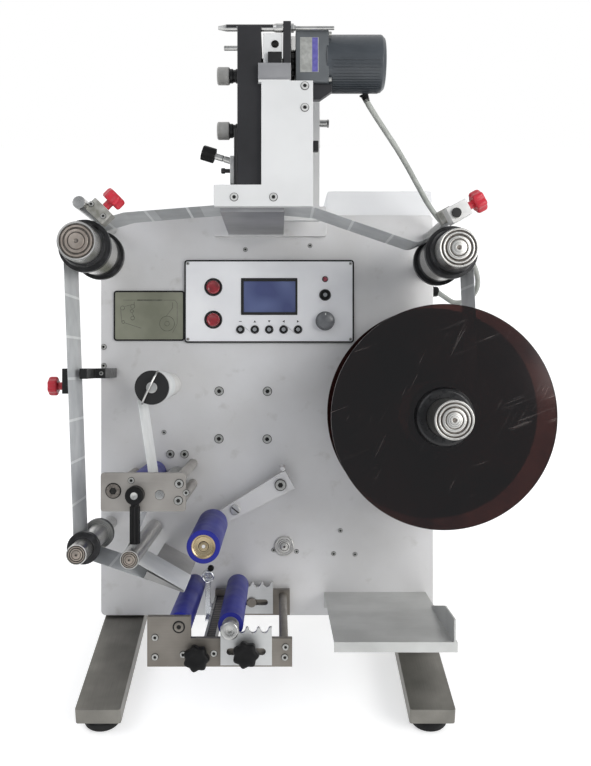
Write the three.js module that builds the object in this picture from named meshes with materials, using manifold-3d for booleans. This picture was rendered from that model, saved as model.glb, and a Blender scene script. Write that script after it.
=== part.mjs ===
// Bottle labelling machine, desk type, for round bottles. Millimetres, +Z up, front towards -Y.
// A thick face plate leans back on two foot bars and carries every working part. Parts on the plate
// are placed in the plate's own space: x to the right of its centre line, z up its face from its
// bottom edge, and w, the distance out from its front face.

import * as THREE from 'three';
import { mergeVertices } from 'three/addons/utils/BufferGeometryUtils.js';
import Module from 'manifold-3d';

const wasm = await Module();
wasm.setup();

// Driving dimensions

const plateLean = 16;
const plateWidth = 426;
const plateHeight = 513;
const plateThickness = 10;
const plateCorner = 6;
const gap = 0.3;
const overrun = 2;
const webWidth = 76;
const webStart = 85;
const webThickness = 0.4;
const rollerReach = 206;
const weldDistance = 0.001;
const arcSteps = 7;

const plateLeft = -plateWidth / 2;
const plateRight = plateWidth / 2;
const webEnd = webStart + webWidth;
const lean = THREE.MathUtils.degToRad(plateLean);

// Finishes

function finish(color, roughness, metalness, opacity = 1) {
  return new THREE.MeshStandardMaterial({ color, roughness, metalness, opacity, transparent: opacity < 1 });
}

const anodised = finish(0xb9babc, 0.45, 0.85);
const turnedAluminium = finish(0xc9cacc, 0.3, 0.95);
const whiteEnamel = finish(0xe6e6e4, 0.5, 0);
const blackAnodised = finish(0x2a2a2c, 0.5, 0.3);
const blackNylon = finish(0x161617, 0.6, 0);
const blackRubber = finish(0x121212, 0.85, 0);
const bluePolyurethane = finish(0x2b2f96, 0.55, 0);
const redPlastic = finish(0xc01f2a, 0.4, 0);
const amberAcrylic = finish(0x3a1410, 0.2, 0, 0.92);
const greyEnamel = finish(0x565a5c, 0.5, 0.2);
const greyPlastic = finish(0x8c8f92, 0.5, 0);
const panelAluminium = finish(0xdcdde2, 0.5, 0.4);
const oliveFilm = finish(0x7a7c6c, 0.6, 0);
const labelPaper = finish(0xa9acae, 0.7, 0);
const rollPaper = finish(0xe4e2dc, 0.8, 0);
const housingEnamel = finish(0xd6d7d9, 0.6, 0);
const cableGrey = finish(0x9a9d98, 0.6, 0);
const sheetSteel = finish(0xb4b5b3, 0.5, 0.7);

// Solids: geometries are welded into closed bodies before they are joined or cut

function closed(geometry) {
  const bare = geometry.clone();
  for (const name of Object.keys(bare.attributes)) {
    if (name !== 'position') bare.deleteAttribute(name);
  }
  const welded = mergeVertices(bare, weldDistance);
  const points = welded.attributes.position;
  const corner = new THREE.Vector3();
  const next = new THREE.Vector3();
  const last = new THREE.Vector3();
  const faces = [];
  let volume = 0;
  for (let i = 0; i < welded.index.count; i += 3) {
    const [a, b, c] = [0, 1, 2].map((k) => welded.index.getX(i + k));
    if (a === b || b === c || c === a) continue;
    corner.fromBufferAttribute(points, a);
    next.fromBufferAttribute(points, b);
    last.fromBufferAttribute(points, c);
    volume += corner.dot(next.cross(last));
    faces.push([a, b, c]);
  }
  const order = volume < 0 ? faces.map(([a, b, c]) => [a, c, b]) : faces;
  welded.setIndex(order.flat());
  return welded;
}

function solidOf(geometry) {
  const body = closed(geometry);
  return new wasm.Manifold(new wasm.Mesh({
    numProp: 3,
    vertProperties: new Float32Array(body.attributes.position.array),
    triVerts: new Uint32Array(body.index.array),
  }));
}

function geometryOf(solid) {
  const mesh = solid.getMesh();
  const geometry = new THREE.BufferGeometry();
  geometry.setAttribute('position', new THREE.BufferAttribute(mesh.vertProperties, 3));
  geometry.setIndex(new THREE.BufferAttribute(mesh.triVerts, 1));
  geometry.computeVertexNormals();
  return geometry;
}

function join(first, ...others) {
  return geometryOf(others.reduce((sum, part) => sum.add(solidOf(part)), solidOf(first)));
}

function cut(first, ...others) {
  return geometryOf(others.reduce((rest, part) => rest.subtract(solidOf(part)), solidOf(first)));
}

// A flat outline in x and z, given a depth out from the plate, starting at w
function slab(outline, depth, w, rounds = arcSteps) {
  const shape = { depth, bevelEnabled: false, curveSegments: rounds };
  const geometry = new THREE.ExtrudeGeometry(outline, shape);
  geometry.rotateX(Math.PI / 2);
  geometry.translate(0, -w, 0);
  return geometry;
}

function outlineOf(points) {
  return new THREE.Shape(points.map(([x, z]) => new THREE.Vector2(x, z)));
}

function roundedOutline(left, bottom, right, top, radius) {
  const shape = new THREE.Shape();
  shape.absarc(right - radius, bottom + radius, radius, -Math.PI / 2, 0, false);
  shape.absarc(right - radius, top - radius, radius, 0, Math.PI / 2, false);
  shape.absarc(left + radius, top - radius, radius, Math.PI / 2, Math.PI, false);
  shape.absarc(left + radius, bottom + radius, radius, Math.PI, Math.PI * 1.5, false);
  shape.closePath();
  return shape;
}

function boxOutline(left, bottom, right, top) {
  return outlineOf([[left, bottom], [right, bottom], [right, top], [left, top]]);
}

function block(left, bottom, right, top, depth, w) {
  return slab(boxOutline(left, bottom, right, top), depth, w);
}

// A body of revolution about an axis that stands out from the plate: radius against w
function turned(profile, x, z, sides = 24) {
  const points = profile.map(([radius, w]) => new THREE.Vector2(radius, -w));
  const geometry = new THREE.LatheGeometry(points, sides);
  geometry.translate(x, 0, z);
  return geometry;
}

function pin(radius, from, to, x, z, sides = 16) {
  return turned([[0, from], [radius, from], [radius, to], [0, to]], x, z, sides);
}

// A body of revolution about an axis along x: radius against x
function turnedAcross(profile, w, z, sides = 20) {
  const points = profile.map(([radius, x]) => new THREE.Vector2(radius, x));
  const geometry = new THREE.LatheGeometry(points, sides);
  geometry.rotateZ(-Math.PI / 2);
  geometry.translate(0, -w, z);
  return geometry;
}

const group = new THREE.Group();
const stand = new THREE.Group();
const face = new THREE.Group();
group.add(stand);
stand.add(face);
face.rotation.x = -lean;

function add(parent, name, geometry, material) {
  const mesh = new THREE.Mesh(closed(geometry), material);
  mesh.name = name;
  parent.add(mesh);
  return mesh;
}

// Foot bars: flat bars on round rubber feet, each with a welded gusset that carries the plate's back

const footHeight = 16;
const footRadius = 20;
const footTaper = 3;
const footSetBack = 24;
const barWidth = 50;
const barHeight = 18;
const barFront = 188;
const barRear = 212;
const barInset = 30;
const barCorner = 3;
const gussetThickness = 12;
const gussetHeight = 120;
const gussetBack = 150;
const gussetLip = 14;

const barTop = footHeight + gap + barHeight;
const faceHeight = barTop + plateThickness * Math.sin(lean) + gap;
const gussetFoot = plateThickness * Math.cos(lean) + gap / Math.cos(lean)
  + (faceHeight - plateThickness * Math.sin(lean) - barTop) * Math.tan(lean);
face.position.z = faceHeight;

const footProfile = [
  [0, 0],
  [footRadius - footTaper, 0],
  [footRadius, footTaper],
  [footRadius, footHeight],
  [0, footHeight],
];

for (const side of ['left', 'right']) {
  const sign = side === 'left' ? -1 : 1;
  const centre = sign * (plateRight - barInset);
  const plan = roundedOutline(centre - barWidth / 2, -barFront, centre + barWidth / 2, barRear, barCorner);
  const bar = new THREE.ExtrudeGeometry(plan, { depth: barHeight, bevelEnabled: false, curveSegments: 3 });
  bar.translate(0, 0, barTop - barHeight);
  const gussetSide = outlineOf([
    [gussetFoot, -overrun],
    [gussetFoot + gussetBack, -overrun],
    [gussetFoot + gussetBack, gussetLip],
    [gussetFoot + gussetHeight * Math.tan(lean) + gussetLip, gussetHeight],
    [gussetFoot + gussetHeight * Math.tan(lean), gussetHeight],
    [gussetFoot, 0],
  ]);
  const gusset = new THREE.ExtrudeGeometry(gussetSide, { depth: gussetThickness, bevelEnabled: false });
  gusset.rotateX(Math.PI / 2);
  gusset.rotateZ(Math.PI / 2);
  gusset.translate(centre - gussetThickness / 2, 0, barTop);
  add(stand, `${side}_foot_bar`, join(bar, gusset), anodised);
  for (const end of ['front', 'rear']) {
    const foot = new THREE.LatheGeometry(footProfile.map(([r, h]) => new THREE.Vector2(r, h)), 16);
    foot.rotateX(Math.PI / 2);
    const y = end === 'front' ? -barFront + footSetBack : barRear - footSetBack;
    foot.translate(centre, y, 0);
    add(stand, `${end}_${side}_foot`, foot, blackRubber);
  }
}

// Idlers: turned shafts with edge collars. Each turns in a bore of the plate

const boreDepth = plateThickness - gap;
const collarThickness = 9;
const collarGap = 1;
const upperIdlerInset = 14;
const upperIdlerDrop = 61;
const upperRightInset = 8;
const upperRightDrop = 68;
const upperShaftRadius = 12;
const upperJournal = 5;
const upperBodyRadius = 25;
const upperCollarRadius = 29;
const upperSleeveLength = 14;
const noseRadius = 21;
const noseReach = 212;
const noseShares = [0.88, 0.62, 0.33];
const noseRecess = 2;
const noseBoltHeight = 4;
const lowerIdlerInset = 12.6;
const lowerIdlerRise = 119.4;
const lowerShaftRadius = 8;
const lowerJournal = 6;
const lowerBodyRadius = 12;
const lowerCollarRadius = 18;
const tubeRadius = 11;
const guideRollerX = -144;
const guideRollerZ = 114;
const guideRollerRadius = 10;
const guideJournal = 5;
const guideRollerStart = 6;
const plateClear = 0.6;
const bossRadius = 15;
const bossLength = 10;

const leftIdlerX = plateLeft + upperIdlerInset;
const leftIdlerZ = plateHeight - upperIdlerDrop;
const rightIdlerX = plateRight - upperRightInset;
const rightIdlerZ = plateHeight - upperRightDrop;
const lowerIdlerX = plateLeft + lowerIdlerInset;
const lowerIdlerZ = lowerIdlerRise;
const collarRear = webStart - collarGap - collarThickness;
const collarFront = webEnd + collarGap;

// The turned end of a shaft: a rim, a sunk ring, a raised ring and a bolt boss at its centre
function noseProfile(radius, reach) {
  const [rim, ring, bolt] = noseShares.map((share) => radius * share);
  return [
    [radius, reach],
    [rim, reach],
    [rim, reach - noseRecess],
    [ring, reach - noseRecess],
    [ring, reach],
    [bolt, reach],
    [bolt, reach + noseBoltHeight],
    [0, reach + noseBoltHeight],
  ];
}

function idlerProfile(journal, boss, bossEnd, shaft, body, collar, sleeve, nose) {
  return [
    [0, -boreDepth],
    [journal, -boreDepth],
    [journal, plateClear],
    [boss, plateClear],
    [boss, bossEnd],
    [shaft, bossEnd],
    [shaft, collarRear],
    [collar, collarRear],
    [collar, collarRear + collarThickness],
    [body, collarRear + collarThickness],
    [body, collarFront],
    [collar, collarFront],
    [collar, collarFront + collarThickness],
    ...sleeve,
    ...nose,
  ];
}

const upperSleeve = [
  [upperBodyRadius, collarFront + collarThickness],
  [upperBodyRadius, collarFront + collarThickness + upperSleeveLength],
  [noseRadius, collarFront + collarThickness + upperSleeveLength],
];
const upperProfile = idlerProfile(
  upperJournal, bossRadius, bossLength, upperShaftRadius, upperBodyRadius, upperCollarRadius,
  upperSleeve, noseProfile(noseRadius, noseReach),
);
const lowerProfile = idlerProfile(
  lowerJournal, lowerShaftRadius, collarRear, lowerShaftRadius, lowerBodyRadius, lowerCollarRadius,
  [[tubeRadius, collarFront + collarThickness]],
  noseProfile(tubeRadius, rollerReach),
);

add(face, 'upper_left_idler', turned(upperProfile, leftIdlerX, leftIdlerZ, 20), blackNylon);
add(face, 'upper_right_idler', turned(upperProfile, rightIdlerX, rightIdlerZ, 20), blackNylon);
add(face, 'lower_left_idler', turned(lowerProfile, lowerIdlerX, lowerIdlerZ, 16), blackNylon);

const guideProfile = [
  [0, -boreDepth],
  [guideJournal, -boreDepth],
  [guideJournal, guideRollerStart],
  [guideRollerRadius, guideRollerStart],
  ...noseProfile(guideRollerRadius, rollerReach),
];
add(face, 'guide_roller', turned(guideProfile, guideRollerX, guideRollerZ, 16), turnedAluminium);

// Reel: a hub with a fixed rear disc, the label roll, and a clear amber front disc that lifts off

const reelInset = 15.4;
const reelRise = 263.5;
const reelDiscRadius = 125;
const reelDiscThickness = 5;
const reelDrumRadius = 30;
const reelShaftRadius = 21;
const reelJournal = 10;
const reelNoseReach = 226;
const reelNeckRadius = 16;
const reelRollRadius = 40;
const reelSideGap = 1;
const discHubRadius = 33;
const discHubLength = 14;

const reelX = plateRight - reelInset;
const reelZ = reelRise;
const discRear = webStart - reelSideGap;
const discFront = webEnd + reelSideGap;
const hubProfile = [
  [0, -boreDepth],
  [reelJournal, -boreDepth],
  [reelJournal, plateClear],
  [reelNeckRadius, plateClear],
  [reelNeckRadius, discRear - reelDiscThickness],
  [reelDiscRadius, discRear - reelDiscThickness],
  [reelDiscRadius, discRear],
  [reelDrumRadius, discRear],
  [reelDrumRadius, discFront],
  [reelShaftRadius, discFront],
  ...noseProfile(reelShaftRadius, reelNoseReach),
];
add(face, 'reel_hub', turned(hubProfile, reelX, reelZ, 36), turnedAluminium);

function ringProfile(inner, outer, from, to) {
  return [[inner, from], [outer, from], [outer, to], [inner, to], [inner, from]];
}

const rollProfile = ringProfile(reelDrumRadius + gap, reelRollRadius, webStart, webEnd);
add(face, 'label_roll', turned(rollProfile, reelX, reelZ, 28), rollPaper);

const discProfile = [
  [reelShaftRadius + gap, discFront + gap],
  [reelDiscRadius, discFront + gap],
  [reelDiscRadius, discFront + gap + reelDiscThickness],
  [discHubRadius, discFront + gap + reelDiscThickness],
  [discHubRadius, discFront + gap + discHubLength],
  [reelShaftRadius + gap, discFront + gap + discHubLength],
  [reelShaftRadius + gap, discFront + gap],
];
add(face, 'reel_front_disc', turned(discProfile, reelX, reelZ, 36), amberAcrylic);

// Rewind spool: a white core that winds the bare liner, a black end disc, and a wire clip over it

const rewindX = -125.6;
const rewindZ = 296;
const rewindCoreRadius = 15;
const rewindRollRadius = 17.5;
const rewindDiscRadius = 19;
const rewindJournal = 6;
const clipRadius = 1.2;
const clipSpan = 12;
const clipRise = 9;
const rewindDiscThickness = 5;

const rewindProfile = [
  [0, -boreDepth],
  [rewindJournal, -boreDepth],
  [rewindJournal, plateClear],
  [rewindCoreRadius, plateClear],
  [rewindCoreRadius, webStart],
  [rewindRollRadius, webStart],
  [rewindRollRadius, webEnd],
  [rewindDiscRadius, webEnd],
  [rewindDiscRadius, webEnd + rewindDiscThickness],
  [0, webEnd + rewindDiscThickness],
];

class ClipArch extends THREE.Curve {
  getPoint(t, target = new THREE.Vector3()) {
    const turn = Math.PI * t;
    return target.set(
      rewindX + clipSpan * Math.cos(turn),
      -(webEnd + rewindDiscThickness - clipRadius * 2 + clipRise * Math.sin(turn)),
      rewindZ,
    );
  }
}

function tubeAlong(curve, radius, steps, sides) {
  const section = new THREE.Shape();
  section.absarc(0, 0, radius, 0, Math.PI * 2, false);
  return new THREE.ExtrudeGeometry(section, { steps, extrudePath: curve, curveSegments: sides });
}

const clip = tubeAlong(new ClipArch(), clipRadius, 10, 3);
add(face, 'rewind_spool', join(turned(rewindProfile, rewindX, rewindZ, 18), clip), rollPaper);

// Traction unit: a pinch roller on an eccentric axle presses the liner on the driven traction roller

const pinchX = -143;
const pinchZ = 184;
const pinchRadius = 15;
const tractionRadius = 12;
const nipAngle = -10;
const eccentricX = 2;
const eccentricZ = -4;
const axleRadius = 5;
const leverJournal = 4;
const bracketStart = 170;
const bracketThickness = 8;
const bracketLeft = -179.8;
const bracketRight = -87;
const bracketBottom = 161;
const bracketTop = 203;
const bracketCorner = 3;
const pillarRadius = 6;
const pillarInset = 11.3;
const pillarRise = 22.5;
const rightPillarInset = 8;
const rightPillarRise = 8;
const leverHubRadius = 10;
const leverHubLength = 16;
const handleRadius = 5.6;
const handleFlute = 0.6;
const handleFlutes = 9;
const handleLength = 43;
const cheekLength = 5;

const nipSpacing = pinchRadius + tractionRadius + webThickness + gap * 2;
const nipTurn = THREE.MathUtils.degToRad(nipAngle);
const tractionX = pinchX + nipSpacing * Math.cos(nipTurn);
const tractionZ = pinchZ + nipSpacing * Math.sin(nipTurn);
const leverX = pinchX + eccentricX;
const leverZ = pinchZ + eccentricZ;
const rollerStart = plateClear * 2;
const rollerEnd = bracketStart - plateClear;

const tractionProfile = [
  [0, -boreDepth],
  [axleRadius, -boreDepth],
  [axleRadius, rollerStart],
  [tractionRadius, rollerStart],
  [tractionRadius, rollerEnd],
  [axleRadius, rollerEnd],
  [axleRadius, bracketStart + bracketThickness],
  [0, bracketStart + bracketThickness],
];
add(face, 'traction_roller', turned(tractionProfile, tractionX, tractionZ, 16), turnedAluminium);

const pinchStart = plateClear + cheekLength;
const pinchEnd = bracketStart - cheekLength;
const pinchProfile = ringProfile(axleRadius + gap, pinchRadius, pinchStart, pinchEnd);
add(face, 'pinch_roller', turned(pinchProfile, pinchX, pinchZ, 20), bluePolyurethane);

const bracketOutline = roundedOutline(bracketLeft, bracketBottom, bracketRight, bracketTop, bracketCorner);
const bracketPlate = slab(bracketOutline, bracketThickness, bracketStart, 3);
const pillars = [
  [bracketLeft + pillarInset, bracketBottom + pillarRise],
  [bracketRight - rightPillarInset, bracketBottom + rightPillarRise],
  [bracketRight - rightPillarInset, bracketTop - rightPillarRise],
].map(([x, z]) => pin(pillarRadius, gap, bracketStart + overrun, x, z, 12));
const boreStart = bracketStart - overrun;
const boreEnd = bracketStart + bracketThickness + overrun;
const bracketBores = [
  pin(leverJournal + gap, boreStart, boreEnd, leverX, leverZ),
  pin(axleRadius + gap, boreStart, boreEnd, tractionX, tractionZ),
];
add(face, 'traction_bracket', cut(join(bracketPlate, ...pillars), ...bracketBores), anodised);

const leverHubStart = bracketStart + bracketThickness + plateClear;
const handleW = leverHubStart + leverHubLength / 2;
const handleOutline = new THREE.Shape();
for (let i = 0; i < handleFlutes * 2; i += 1) {
  const turn = Math.PI * i / handleFlutes;
  const radius = handleRadius - (i % 2) * handleFlute;
  const place = [radius * Math.cos(turn), radius * Math.sin(turn)];
  if (i === 0) handleOutline.moveTo(...place);
  else handleOutline.lineTo(...place);
}
const handleDepth = handleLength + leverHubRadius;
const handle = new THREE.ExtrudeGeometry(handleOutline, { depth: handleDepth, bevelEnabled: false });
handle.translate(leverX, -handleW, leverZ - leverHubRadius - handleLength);
const leverBody = join(
  pin(axleRadius, plateClear, bracketStart - plateClear / 2, pinchX, pinchZ, 16),
  pin(leverJournal, -boreDepth, pinchStart - gap, leverX, leverZ, 16),
  pin(leverJournal, pinchEnd + gap, leverHubStart + overrun, leverX, leverZ, 16),
  pin(leverHubRadius, leverHubStart, leverHubStart + leverHubLength, leverX, leverZ, 20),
  handle,
);
add(face, 'release_lever', leverBody, blackNylon);

// Swing arm with the top bottle roller; the arm's tail rests under a stop pin of the plate

const armPivotX = 17;
const armPivotZ = 171;
const topRollerX = -66.6;
const topRollerZ = 124.7;
const topRollerRadius = 18.3;
const topRollerStart = 42;
const topRollerEnd = 190;
const armThickness = 8;
const armStart = 20;
const armPivotRadius = 13;
const armEndRadius = 8;
const armTail = 14;
const armClevisRadius = 10;
const armJournal = 6;
const stopPinRadius = 3;
const stopPinAlong = 12;
const washerHeight = 3;
const plugRecess = 2;

const armDirection = new THREE.Vector2(armPivotX - topRollerX, armPivotZ - topRollerZ).normalize();
const armNormal = new THREE.Vector2(-armDirection.y, armDirection.x);
const armAngle = armDirection.angle();
const armShape = new THREE.Shape();
const tailX = armPivotX + armDirection.x * armTail;
const tailZ = armPivotZ + armDirection.y * armTail;
const armEndStart = armAngle + Math.PI / 2;
armShape.absarc(topRollerX, topRollerZ, armEndRadius, armEndStart, armEndStart + Math.PI, false);
armShape.lineTo(tailX - armNormal.x * armPivotRadius, tailZ - armNormal.y * armPivotRadius);
armShape.lineTo(tailX + armNormal.x * armPivotRadius, tailZ + armNormal.y * armPivotRadius);
armShape.closePath();
const stopPinAside = armPivotRadius + gap + stopPinRadius;
const stopPinX = armPivotX + armDirection.x * stopPinAlong + armNormal.x * stopPinAside;
const stopPinZ = armPivotZ + armDirection.y * stopPinAlong + armNormal.y * stopPinAside;
const armAxleRadius = axleRadius;
const armBody = join(
  slab(armShape, armThickness, armStart, 6),
  pin(armJournal, -boreDepth, armStart + armThickness + washerHeight, armPivotX, armPivotZ, 16),
  pin(armClevisRadius, armStart, topRollerStart - plateClear, topRollerX, topRollerZ, 16),
  pin(armAxleRadius, armStart, topRollerEnd - plugRecess, topRollerX, topRollerZ, 16),
);
add(face, 'roller_arm', armBody, anodised);
const topRollerProfile = ringProfile(armAxleRadius + gap, topRollerRadius, topRollerStart, topRollerEnd);
add(face, 'top_bottle_roller', turned(topRollerProfile, topRollerX, topRollerZ, 20), bluePolyurethane);

// Lower bottle rollers: one runs in the frame, the other lies in the notches of two sliding plates

const bottleRollerRadius = 13.5;
const bottleJournal = 4;
const leftRollerX = -91;
const lowerRollerZ = 44.5;
const rollerSpacing = 54.6;
const bottleRollerStart = 22;
const frontPlateThickness = 8;
const frontPlateLeft = -124;
const frontPlateStep = -78;
const frontPlateRight = 29;
const frontPlateBottom = 3;
const crossBarTop = 33;
const frontPlateTop = 56;
const rearBracketThickness = 10;
const rearBracketLeft = -48;
const tieRodRadius = 5;
const tieRodX = 20;
const tieRodZ = 27;
const railWidth = 12;
const railX = -60;
const railTop = 28;
const railBottom = 12;
const notchPlateThickness = 6;
const notchPitch = 12;
const notchCount = 4;
const notchPlateLeft = 10;
const notchPlateRight = 8;
const notchPlateBottom = 6.5;
const toothHeight = 1.8;
const toothShares = 0.22;
const slotWidth = 7;
const slotLength = 41;
const slotZ = 21;
const studRadius = 3;
const studHeadRadius = 6;
const studHeadHeight = 3;
const endCapRadius = 9.5;
const endCapLength = 8;

const rightRollerX = leftRollerX + rollerSpacing;
const frontPlateStart = rollerReach;
const frontPlateEnd = rollerReach + frontPlateThickness;
const frontOutline = outlineOf([
  [frontPlateLeft, frontPlateBottom],
  [frontPlateRight, frontPlateBottom],
  [frontPlateRight, crossBarTop],
  [frontPlateStep, crossBarTop],
  [frontPlateStep, frontPlateTop],
  [frontPlateLeft, frontPlateTop],
]);
const notchRow = notchPitch * (notchCount - 1);
const slotCentreX = rightRollerX + (notchRow + notchPlateRight - notchPlateLeft) / 2;
const rearNotchStart = rearBracketThickness + gap * 2;
const rearNotchEnd = rearNotchStart + notchPlateThickness;
const frontNotchStart = frontPlateEnd + gap;
const frontNotchEnd = frontNotchStart + notchPlateThickness;
const railBody = block(railX - railWidth / 2, railBottom, railX + railWidth / 2, railTop,
  frontPlateStart - gap - rearBracketThickness + overrun + gap, rearBracketThickness - overrun + gap);
const rearBracketLeftEdge = Math.min(rearBracketLeft, railX - railWidth / 2);
const frameBody = cut(
  join(
    slab(frontOutline, frontPlateThickness, frontPlateStart),
    block(rearBracketLeftEdge, frontPlateBottom, frontPlateRight, crossBarTop + overrun,
      rearBracketThickness, gap),
    pin(tieRodRadius, rearBracketThickness - overrun, frontPlateStart + overrun, tieRodX, tieRodZ, 14),
    railBody,
    pin(studRadius, rearBracketThickness - overrun, rearNotchEnd + gap + overrun, slotCentreX, slotZ, 12),
    pin(studHeadRadius, rearNotchEnd + gap, rearNotchEnd + gap + studHeadHeight, slotCentreX, slotZ, 12),
  ),
  pin(bottleJournal + gap, frontPlateStart - overrun, frontPlateEnd + overrun,
    leftRollerX, lowerRollerZ, 14),
);
add(face, 'lower_roller_frame', frameBody, anodised);

const leftBottleProfile = [
  [0, -boreDepth],
  [bottleJournal, -boreDepth],
  [bottleJournal, bottleRollerStart],
  [bottleRollerRadius, bottleRollerStart],
  [bottleRollerRadius, frontPlateStart - plateClear],
  [bottleJournal, frontPlateStart - plateClear],
  [bottleJournal, frontPlateEnd],
  [0, frontPlateEnd],
];
add(face, 'left_bottle_roller', turned(leftBottleProfile, leftRollerX, lowerRollerZ, 18), bluePolyurethane);

const rightBottleProfile = [
  [0, rearNotchStart + gap],
  [bottleJournal, rearNotchStart + gap],
  [bottleJournal, bottleRollerStart],
  [bottleRollerRadius, bottleRollerStart],
  [bottleRollerRadius, frontPlateStart - plateClear],
  [bottleJournal, frontPlateStart - plateClear],
  [bottleJournal, frontNotchEnd + gap],
  [endCapRadius, frontNotchEnd + gap],
  [endCapRadius, frontNotchEnd + gap + endCapLength],
  [0, frontNotchEnd + gap + endCapLength],
];
const rightBottleRoller = turned(rightBottleProfile, rightRollerX, lowerRollerZ, 18);
add(face, 'right_bottle_roller', rightBottleRoller, bluePolyurethane);

// A notched plate: round-bottomed seats for the journal at an even pitch, with blunt teeth between
function notchedPlate(start) {
  const left = rightRollerX - notchPlateLeft;
  const right = rightRollerX + notchRow + notchPlateRight;
  const top = lowerRollerZ + toothHeight;
  const seat = bottleJournal + gap;
  const shape = new THREE.Shape();
  shape.moveTo(left, notchPlateBottom);
  shape.lineTo(right, notchPlateBottom);
  shape.lineTo(right, top);
  for (let i = notchCount - 1; i >= 0; i -= 1) {
    const x = rightRollerX + i * notchPitch;
    const mouth = seat + notchPitch * toothShares / 2;
    shape.lineTo(x + mouth, top);
    shape.lineTo(x + seat, lowerRollerZ);
    shape.absarc(x, lowerRollerZ, seat, 0, -Math.PI, true);
    shape.lineTo(x - mouth, top);
  }
  shape.lineTo(left, top);
  shape.closePath();
  const slot = new THREE.Path();
  const reach = (slotLength - slotWidth) / 2;
  slot.absarc(slotCentreX + reach, slotZ, slotWidth / 2, -Math.PI / 2, Math.PI / 2, false);
  slot.absarc(slotCentreX - reach, slotZ, slotWidth / 2, Math.PI / 2, Math.PI * 1.5, false);
  slot.closePath();
  shape.holes.push(slot);
  return slab(shape, notchPlateThickness, start, 4);
}
add(face, 'front_notched_plate', notchedPlate(frontNotchStart), turnedAluminium);
add(face, 'rear_notched_plate', notchedPlate(rearNotchStart), turnedAluminium);

// Star knobs: a lobed plastic head on a steel stud
function starKnob(radius, height, hubRadius, hubHeight, lobes) {
  const shape = new THREE.Shape();
  const steps = lobes * 4;
  const dip = radius * lobeDipShare;
  for (let i = 0; i < steps; i += 1) {
    const turn = 2 * Math.PI * i / steps;
    const r = radius - dip * (1 - Math.cos(lobes * turn)) / 2;
    if (i === 0) shape.moveTo(r * Math.cos(turn), r * Math.sin(turn));
    else shape.lineTo(r * Math.cos(turn), r * Math.sin(turn));
  }
  const head = new THREE.ExtrudeGeometry(shape, { depth: height, bevelEnabled: false });
  head.translate(0, 0, hubHeight);
  const hub = new THREE.CylinderGeometry(hubRadius, hubRadius, hubHeight + overrun, 12);
  hub.rotateX(Math.PI / 2);
  hub.translate(0, 0, (hubHeight + overrun) / 2);
  return join(head, hub);
}

const lobeDipShare = 0.16;
const starRadius = 14;
const starHeight = 12;
const starHubRadius = 8;
const starHubHeight = 5;
const leftKnobX = -71;
const leftKnobZ = 15.4;

const leftStar = starKnob(starRadius, starHeight, starHubRadius, starHubHeight, 7);
leftStar.rotateX(Math.PI / 2);
leftStar.translate(leftKnobX, -(frontPlateEnd + gap), leftKnobZ);
add(face, 'left_star_knob', leftStar, blackNylon);

const rightStar = starKnob(starRadius, starHeight, starHubRadius, starHubHeight, 7);
rightStar.rotateX(Math.PI / 2);
rightStar.translate(slotCentreX, -(frontNotchEnd + gap), slotZ);
const rightStud = pin(studRadius, frontPlateEnd + gap, frontNotchEnd + overrun, slotCentreX, slotZ, 12);
add(face, 'right_star_knob', join(rightStar, rightStud), blackNylon);

// Bottle stop: a saddle on the ribbed rail with a bright post between the rollers

const stopStart = 44;
const stopLength = 18;
const saddleWall = 3;
const stopPostX = -72;
const stopPostWidth = 6;
const stopPostTop = 66;
const stopHeadRadius = 4.5;

const saddleOuter = block(railX - railWidth / 2 - saddleWall, railBottom - saddleWall,
  railX + railWidth / 2 + saddleWall, railTop - gap * 2, stopLength, stopStart);
const saddleChannel = block(railX - railWidth / 2 - gap, railBottom - gap,
  railX + railWidth / 2 + gap, railTop + overrun, stopLength + overrun * 2, stopStart - overrun);
const stopPost = block(stopPostX - stopPostWidth / 2, railBottom - saddleWall,
  stopPostX + stopPostWidth / 2, stopPostTop, stopPostWidth, stopStart);
const stopFoot = block(stopPostX - stopPostWidth / 2, railBottom - saddleWall,
  railX - railWidth / 2 - gap, railBottom, stopLength, stopStart);
const stopHead = pin(stopHeadRadius, stopStart - overrun, stopStart + stopLength / 2,
  stopPostX, stopPostTop, 14);
const stopBody = join(cut(saddleOuter, saddleChannel), stopFoot, stopPost, stopHead);
add(face, 'bottle_stop', stopBody, turnedAluminium);

// Label web: a thin strip that runs round the rollers. Each station is a circle that the strip passes,
// on its left hand (+1) or right hand (-1), and the strip is drawn along the tangents between them

const upperWebZ = 499;
const sagX = 168;
const sagZ = 458;
const sagRadius = 15;
const coderExitX = 54;
const coderExitZ = 496;
const coderLeftX = -49;
const coderRightX = 21;
const leftRunX = -156;
const leftRunZ = 490.5;
const bendRadius = 6;
const peelTipX = -91;
const peelTipZ = 70;
const peelTipRadius = 1.2;

const ride = gap + webThickness / 2;

function tangentAngle(from, to) {
  const run = new THREE.Vector2(to.x - from.x, to.z - from.z);
  const offset = to.hand * to.radius - from.hand * from.radius;
  return Math.atan2(run.y, run.x) - Math.asin(offset / run.length());
}

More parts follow.
